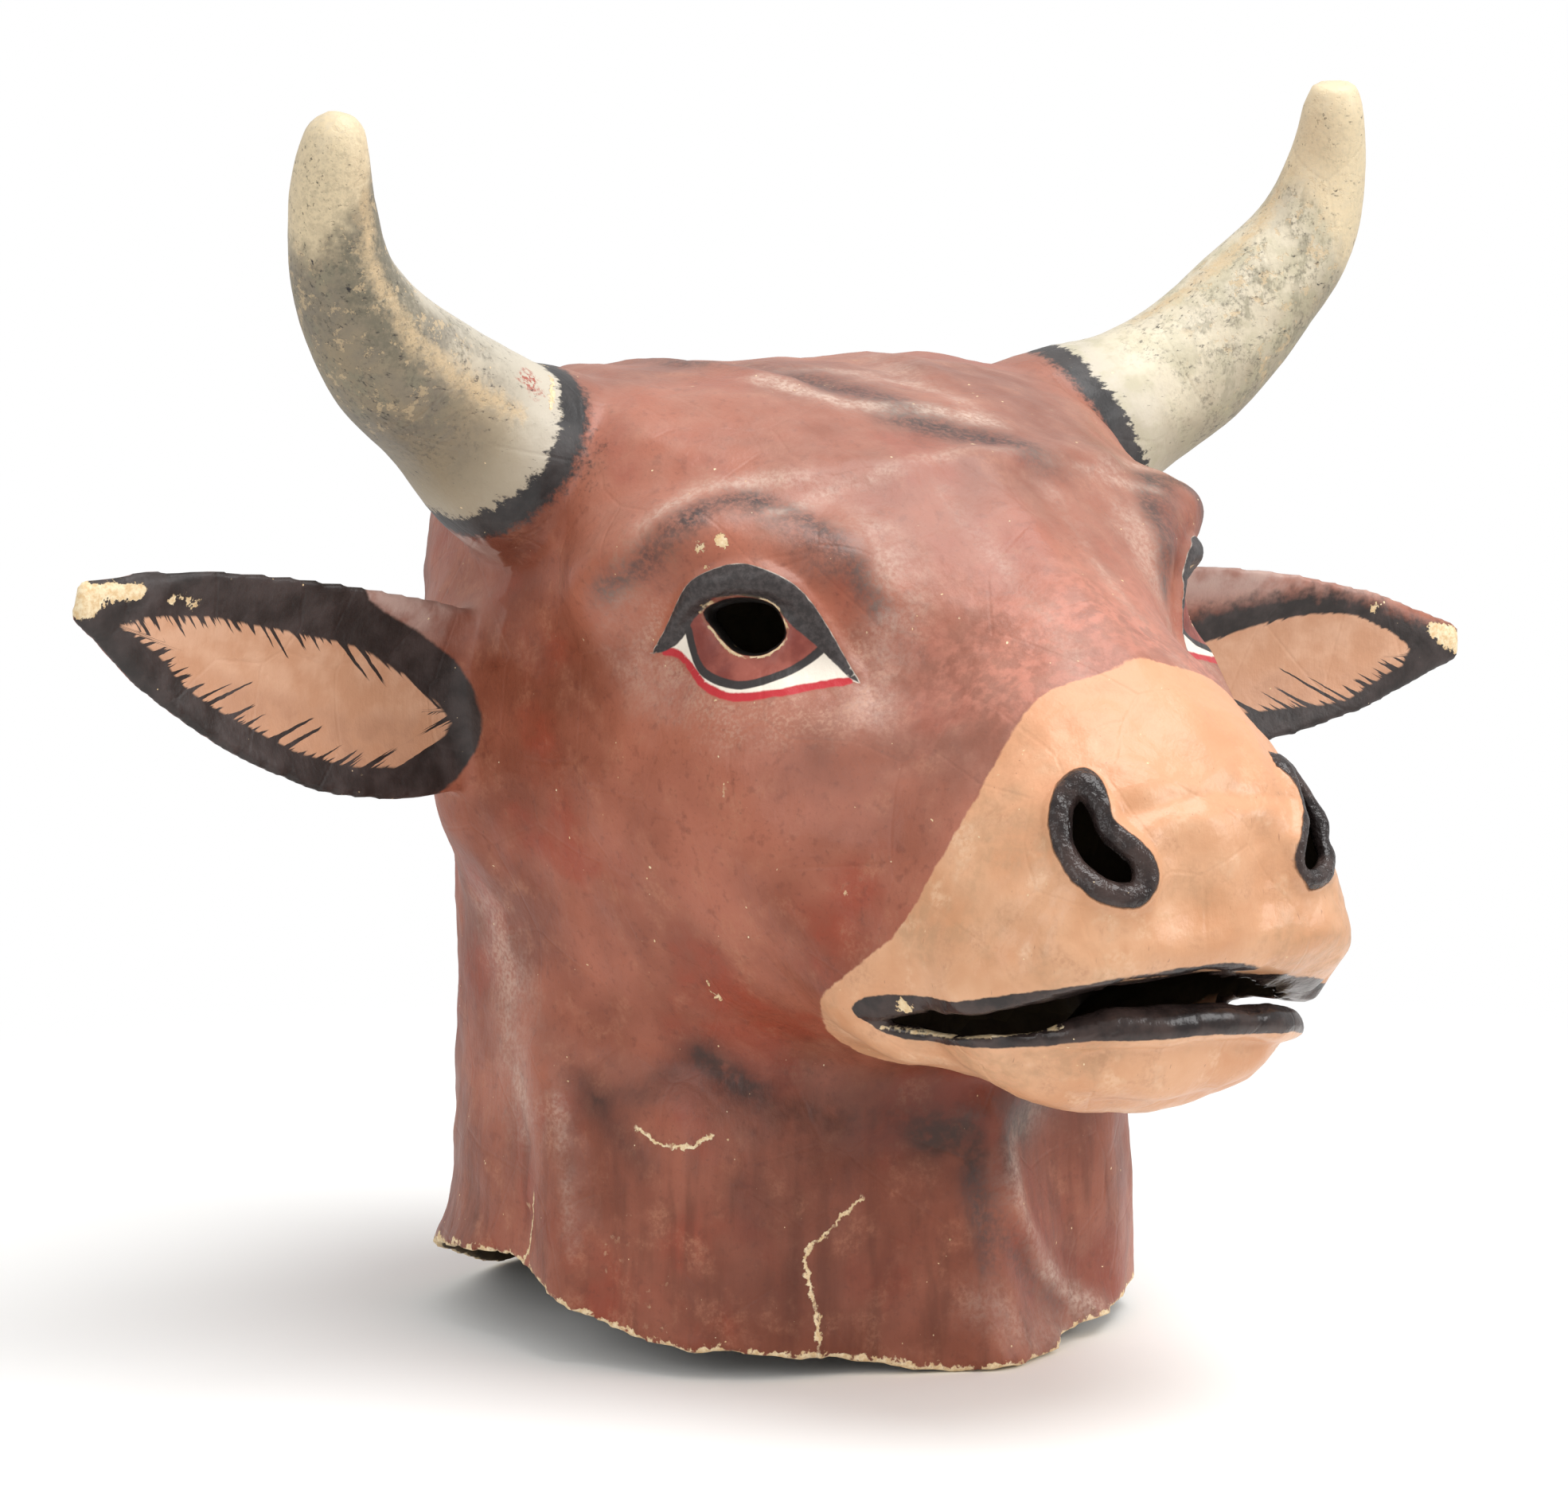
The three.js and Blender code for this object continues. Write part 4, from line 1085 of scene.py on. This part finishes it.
for name, (size, detail, rough, *drawn_out) in PATCHES.items():
    laid_on = node("VectorMath", {0: place, 1: drawn_out}, operation="MULTIPLY") if drawn_out else place
    settings = {"Vector": laid_on, "Scale": 1 / (size * MM), "Detail": detail, "Roughness": rough}
    patch[name] = node("TexNoise", settings, out="Fac")
mottle, brush, hairs, speckle = (patch[name] for name in ("mottle", "brush", "hairs", "speckle"))
faces_up, through_wall, eye_hole = noted["faces_up"], noted["through_wall"], noted["eye_hole"]


def frayed(distance, amount, fray=brush):
    """A distance with its edge pushed about by brush marks, in millimetres."""
    either_way = node("Math", {0: fray, 1: -0.5}, operation="ADD")
    return node("Math", {0: either_way, 1: 2 * amount, 2: distance}, operation="MULTIPLY_ADD")


red_brown = coats(
    "#7E432F",
    ("#AA654E", (patch["clouds"], 0.34, 0.66)),
    ("#963F29", (patch["redder"], 0.5, 0.68), (mottle, 0.3, 0.6, 0.35, 0.85)),
    # Streaks down the neck
    ("#5E2F1E", (height, 0.16, 0.06), (patch["streaks"], 0.42, 0.75, 0.2, 0.7)),
    ("#B87C60", (mottle, 0.48, 0.72), (hairs, 0.4, 0.7, 0.15, 0.6)),
    ("#5E3226", (hairs, 0.56, 0.78, 0.0, 0.4)),
    ("#6B3628", (brush, 0.55, 0.72, 0.0, 0.35)),
    # Dust and painted light from above, paler where it faces up
    ("#A88578", (faces_up, 0.0, 0.9, 0.0, 0.4), (mottle, 0.3, 0.6, 0.6, 1.0)),
)
peach = coats(
    "#CB936C",
    ("#DBAA85", (patch["peach_areas"], 0.3, 0.7)),
    ("#B27F5E", (mottle, 0.46, 0.7), (hairs, 0.35, 0.7, 0.15, 0.6)),
    ("#B88F6C", (patch["drab_areas"], 0.5, 0.62), (brush, 0.35, 0.65, 0.1, 0.6)),
    ("#E3BC9A", (patch["light_dabs"], 0.54, 0.66), (hairs, 0.35, 0.6, 0.1, 0.6)),
    # Painted light from above, paler peach where it faces up
    ("#DB9E78", (faces_up, 0.3, 0.85), 0.85),
    ("#8C604A", (patch["scratches"], 0.74, 0.8, 0.0, 0.45)),
)
surface = coats(
    red_brown,
    # Painted shade in dark brown under the jaw and down the throat, greyed black on brows and forehead with
    # painted shade in the throat's creases, then pale painted highlights on the ridges
    ("#3E221C", noted["jaw_shading"], (mottle, 0.28, 0.6, 0.7, 1.0), 0.8),
    ("#32251F", (noted["jaw_shading"], 0.72, 1.0), (brush, 0.35, 0.6, 0.15, 0.8)),
    ("#3F3736", noted["brows"], (hairs, 0.34, 0.6, 0.5, 1.0), (brush, 0.3, 0.6, 0.75, 1.0)),
    ("#CFB6A6", noted["painted_highlights"], (hairs, 0.35, 0.65, 0.4, 1.0), (mottle, 0.35, 0.6, 0.4, 1.0)),
    # Salmon mottling over the bridge of the nose, and pale dust under the eyes
    (
        "#CC8672", (noted["muzzle"], -95, -8), (height, 0.285, 0.315), (noted["horn"], 5, -5),
        (patch["salmon_dabs"], 0.4, 0.64, 0.2, 0.75), (patch["salmon_areas"], 0.35, 0.6, 0.4, 1.0),
    ),
    (
        "#B98D78", (noted["red_line"], 34, 8), (noted["eyeball"], 1, 4),
        (patch["dust"], 0.42, 0.66, 0.1, 0.8), (mottle, 0.36, 0.6, 0.25, 1.0),
    ),
    (peach, (frayed(noted["muzzle"], 1.5), -0.6, 0.6)),
)

# Ears: brown backs rubbed pale along the top, black front edges with hair strokes, tan inside
ear_along, ear_height = noted["ear_along"], noted["ear_height"]
upper_half = where((ear_height, -5, -3))
near_side, far_side = where((across, 0.05, -0.05)), where((across, -0.05, 0.05))
lower_way, upper_way = (
    node("Math", {0: ear_along, 1: lean, 2: where(ear_height, rise)}, operation="MULTIPLY_ADD")
    for lean, rise in ((0.5, 0.85), (0.57, -0.82))
)
hair_place = node("Mix", {"Factor": upper_half, "A": lower_way, "B": upper_way})
hair_place = node("Math", {0: brush, 1: 1.0, 2: hair_place}, operation="MULTIPLY_ADD")
strand, tuft = (
    node("TexNoise", {"W": hair_place, "Scale": scale, "Detail": detail}, out="Fac", noise_dimensions="1D")
    for scale, detail in ((0.36, 2.5), (0.11, 1.0))
)
upper_length = node("Mix", {"Factor": near_side, "A": 1.0, "B": 8.0})
hair_length = node("Mix", {"Factor": upper_half, "A": 14.0, "B": upper_length})
hair_reach = where(
    hair_length, (tuft, 0.34, 0.66, 0.35, 1.35), (ear_along, 232, 195, 0.5, 1.0), (strand, 0.46, 0.74),
)
tan_edge = node("Math", {0: frayed(noted["ear_tan"], 0.6), 1: hair_reach}, operation="ADD")
on_ear_front = where((noted["ear_front"], -0.2, 0.1), (frayed(noted["ear_black"], 1.2), 1.0, -1.0))
ear_coat = coats(
    "#C79676",
    ("#D5A88A", (mottle, 0.35, 0.65)),
    ("#B08063", (ear_height, -2, -14), (mottle, 0.4, 0.6, 0.2, 0.7)),
)
surface = coats(
    surface,
    ("#CBB2A8", (ear_along, 25, 70), (ear_height, 16, 38, 0.0, 0.75), (mottle, 0.3, 0.6, 0.35, 1.0)),
    (coats("#2B2523", ("#463D3B", (mottle, 0.35, 0.7))), on_ear_front),
    (ear_coat, on_ear_front, (tan_edge, 0.7, -0.7)),
)

# Horns: cream at the root, drab below as painted shade, lighter on top and on the far horn as painted light,
# smoked grey in clouds of grime that are heavier on the near horn and lower faces as painted shade, worn to
# the plaster on a ridge and at the tip
horn_along, horn_wear = noted["horn_along"], noted["horn_wear"]
smoke_look = {"Vector": place, "Scale": 1 / (30 * MM), "Detail": 4.0, "Roughness": 0.6, "Distortion": 0.6}
smoke = node("TexNoise", smoke_look, out="Fac")
# Painted shade: the grey smoke is heavier on the near horn and thinner on upper faces
smoke_and_shade_by_side = node("Mix", {"Factor": near_side, "A": 0.15, "B": 0.7})
worn_ridge = where((frayed(frayed(horn_wear, 7.0), 7.0, speckle), 8, 0), (speckle, 0.36, 0.5, 0.3, 1.0))
tan_flecks = either(worn_ridge, where((patch["worn_spots"], 0.56, 0.62), (horn_along, 40, 90), 0.7))
horn_coat = coats(
    "#A9997F",
    # Painted light: paler where the horn faces up, on the far horn and in the root's cream on top; painted
    # shade: drab where it faces down
    ("#C0B8A7", (faces_up, -0.3, 0.75)),
    ("#D6CBB2", far_side, (mottle, 0.3, 0.6, 0.55, 0.95)),
    ("#C4BBAA", (frayed(horn_along, 6.0), 44, 12), (faces_up, -0.5, 0.2, 0.35, 1.0)),
    ("#857861", (faces_up, 0.1, -0.6), (horn_along, 14, 40, 0.2, 0.6)),
    ("#B3AC8E", far_side, (patch["horn_areas"], 0.42, 0.62), 0.5),
    (
        "#777166", (horn_along, 20, 70), (smoke, 0.38, 0.6), (faces_up, 0.85, 0.4),
        (brush, 0.25, 0.6, 0.35, 1.0), smoke_and_shade_by_side,
    ),
    (
        "#8A846F", (patch["weathering"], 0.48, 0.6), (patch["weather_areas"], 0.38, 0.56),
        (horn_along, 40, 90, 0.0, 0.7), (faces_up, 0.8, 0.5),
    ),
    ("#5E594F", (speckle, 0.47, 0.66), (patch["grain_areas"], 0.38, 0.62, 0.05, 0.6), (horn_along, 16, 60)),
    # Grime beside the worn ridge, the ridge itself, the bare tip and a red smudge
    (
        "#6F6A5A", (frayed(horn_wear, 8.0), 22, 12), (horn_along, 70, 110), (horn_along, 165, 150), near_side,
        (speckle, 0.3, 0.55, 0.3, 0.8),
    ),
    ("#CDB48E", tan_flecks, 0.85),
    ("#DCC9A6", (frayed(horn_along, 9.0), 146, 160), (speckle, 0.3, 0.6, 0.6, 1.0)),
    ("#A2584A", (frayed(noted["red_smudge"], 7.0), 9, 4), (speckle, 0.45, 0.55)),
)
band_start = frayed(frayed(noted["horn"], 5.0, hairs), 3.0)
band_end = frayed(noted["horn"], 6.5, patch["bristles"])
band_coat = coats("#2C2A2A", ("#454140", (mottle, 0.35, 0.7)))

# Eyes: red line, white, outlined brown iris, black upper lid. Nostrils and lips: black with a brown cast
on_ball = where((noted["eyeball"], 0.3, -0.3), (through_wall, 0.4, 0.0))
on_lips = where((frayed(noted["lips"], 0.8), 0.4, -0.4), (through_wall, 1.0, 0.6))
on_nostrils = where((frayed(noted["nostril"], 0.7), 0.4, -0.4))
glossy = either(on_nostrils, on_lips)
surface = coats(
    surface,
    (horn_coat, (frayed(noted["horn"], 1.0), 7, 8)),
    (band_coat, (band_start, -4.0, 2.0), (band_end, 13.2, 10.8)),
    (coats("#E6DACA", ("#F2E8D9", mottle)), on_ball),
    (coats("#7C3A31", ("#A0584A", (mottle, 0.35, 0.65))), on_ball, (noted["iris"], 0.3, -0.3)),
    ("#B92C33", (frayed(noted["red_line"], 0.7), 2.2, 1.2)),
    ("#35302F", on_ball, (frayed(noted["iris_line"], 0.3), 2.15, 1.45)),
    (coats("#332E2D", ("#4A4342", (hairs, 0.35, 0.7))), (frayed(noted["lid"], 0.5), 0.35, -0.35)),
    ("#1D1917", (eye_hole, 0.9, 0.4)),
    (coats("#251E1D", ("#453733", (mottle, 0.35, 0.65))), glossy),
)

# Bare paper: chips, cracks, cut edges rubbed pale, and the unpainted inside in paper colour laid dark as
# painted shade
chip = where((frayed(noted["chips"], 3.2, hairs), 0.3, -0.3))
crack_line = node("Math", {0: frayed(frayed(noted["across_cracks"], 4.0), 1.6, hairs)}, operation="ABSOLUTE")
crack = where(
    (crack_line, 1.15, 0.45), (noted["cracks"], 6.5, 5.0), (patch["crack_gaps"], 0.36, 0.46, 0.25, 1.0),
)
rim_worn = where((frayed(frayed(noted["above_rim"], 6.0), 3.0, hairs), 3.0, 1.8))
hole_worn = where(
    (eye_hole, 0.6, 1.0), (frayed(eye_hole, 1.4, hairs), 2.1, 1.4), (patch["hole_gaps"], 0.42, 0.5, 0.1, 1.0),
)
slit_worn = where(
    (frayed(noted["slit_edge"], 1.2, hairs), 1.2, 0.4), (patch["slit_gaps"], 0.38, 0.46),
    (through_wall, 0.0, -0.3),
)
edge_worn = where(
    (through_wall, -0.8, -0.5), (patch["edge_gaps"], 0.6, 0.66), (patch["edge_areas"], 0.5, 0.65),
    node("Math", {0: 1.0, 1: glossy}, operation="SUBTRACT"),
)
flecks = where((patch["flecks"], 0.775, 0.79), (mottle, 0.48, 0.56))
bare = either(chip, crack, rim_worn, hole_worn, slit_worn, edge_worn, flecks)
# The strips show inside as squarish patches about as wide as torn newspaper
strips = node("TexVoronoi", {"Vector": place, "Scale": 1 / (38 * MM)}, out="Color", distance="CHEBYCHEV")
strip_tone = node("SeparateColor", {0: strips}, out="Red")
inside_face = where((through_wall, 0.1, 0.5))
surface = coats(
    surface,
    (coats("#D6B688", ("#EFDDB9", (hairs, 0.3, 0.7))), bare),
    (coats("#4B3D2E", ("#66553F", strip_tone), ("#3A2F25", (mottle, 0.45, 0.7), 0.6)), inside_face),
)

# Satin varnish, even on the muzzle, wetter on the blacks and duller where the paper is bare
roughness = 0.34
on_muzzle = where((noted["muzzle"], 0, 40))
for part, rough in ((mottle, 0.56), (on_muzzle, 0.34), (glossy, 0.24), (either(bare, inside_face), 0.85)):
    roughness = node("Mix", {"Factor": part, "A": roughness, "B": rough})

# Brush marks, the edges of the paper strips, the step down where paint is missing, and folds in the nostrils,
# each with its height in millimetres
strip_look = {"Vector": place, "Scale": 1 / (46 * MM)}
strip_edge = node("TexVoronoi", strip_look, out="Distance", feature="DISTANCE_TO_EDGE")
flaked = where(tan_flecks, (noted["horn"], 8, 12), 0.6)
heights = where(brush, 0.45)
for part, high in (
    (patch["brush_marks"], 0.2), (mottle, 0.8), (hairs, 0.12), (where((strip_edge, 0.0, 0.03)), 0.16),
    (either(chip, crack, flaked), -0.35), (where(on_nostrils, patch["nostril_folds"]), 3.0),
):
    heights = node("Math", {0: part, 1: high, 2: heights}, operation="MULTIPLY_ADD")
bump = node("Bump", {"Strength": 0.8, "Distance": 1.0 * MM, "Height": heights})
shader = node("BsdfPrincipled", {
    "Base Color": surface, "Roughness": roughness, "Normal": bump, "IOR": 1.48, "Specular IOR Level": 0.34,
    "Coat Weight": 0.06, "Coat Roughness": 0.25,
})
node("OutputMaterial", {"Surface": shader}, out=None)
mask.data.materials.clear()
mask.data.materials.append(paint)

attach(mask, "root")
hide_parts("cow_mask")


def white_to_camera(kind, level):
    """White that the camera sees in full and the mask is lit by at a lower level."""
    seen = node("LightPath", out="Is Camera Ray")
    strength = node("MapRange", {"Value": seen, "To Min": level, "To Max": 1.0})
    return node(kind, {"Color": (1, 1, 1, 1), "Strength": strength})


# Plain pale floor under soft light
bpy.ops.mesh.primitive_plane_add(size=FLOOR_WIDTH, location=(0, 0, 0))
floor = bpy.context.active_object
floor.name = "floor"
# White paper that brightens away from the mask into the white behind it, so no horizon shows
floor_paint = bpy.data.materials.new("matt_white_floor")
tree = bare_tree(floor_paint)
from_mask = node("VectorMath", {0: node("TexCoord", out="Object")}, out="Value", operation="LENGTH")
paper = node("BsdfPrincipled", {"Base Color": colour("#FAFAF8"), "Roughness": 0.9})
faded = where((from_mask, *FLOOR_FADE))
floor_shader = node("MixShader", {0: faded, 1: paper, 2: white_to_camera("Emission", FLOOR_LEVEL)})
node("OutputMaterial", {"Surface": floor_shader}, out=None)
floor.data.materials.append(floor_paint)

for name, from_where, width, watts in SOFTBOXES:
    bpy.ops.object.light_add(type="AREA", location=from_where)
    light = bpy.context.active_object
    light.name = name
    light.data.shape = "DISK"
    light.data.size = width
    light.data.energy = watts
    light.rotation_euler = (Vector(LIT_PLACE) - Vector(from_where)).to_track_quat("-Z", "Y").to_euler()

bpy.context.scene.view_settings.view_transform = "Standard"
world = bpy.data.worlds.new("white_studio")
bpy.context.scene.world = world
tree = bare_tree(world)
node("OutputWorld", {"Surface": white_to_camera("Background", WORLD_LEVEL)}, out=None)

# The photograph's view: from the animal's front right, a little above
azimuth, elevation = math.radians(VIEW_AZIMUTH), math.radians(VIEW_ELEVATION)
back = Vector((
    math.sin(azimuth) * math.cos(elevation),
    -math.cos(azimuth) * math.cos(elevation),
    math.sin(elevation),
))
bpy.ops.object.camera_add(location=Vector(LOOKED_AT) * MM + back * VIEW_DISTANCE)
camera = bpy.context.active_object
camera.rotation_euler = back.to_track_quat("Z", "Y").to_euler()
camera.data.lens = LENS
camera.data.sensor_width = SENSOR
camera.data.clip_end = 100
bpy.context.scene.camera = camera

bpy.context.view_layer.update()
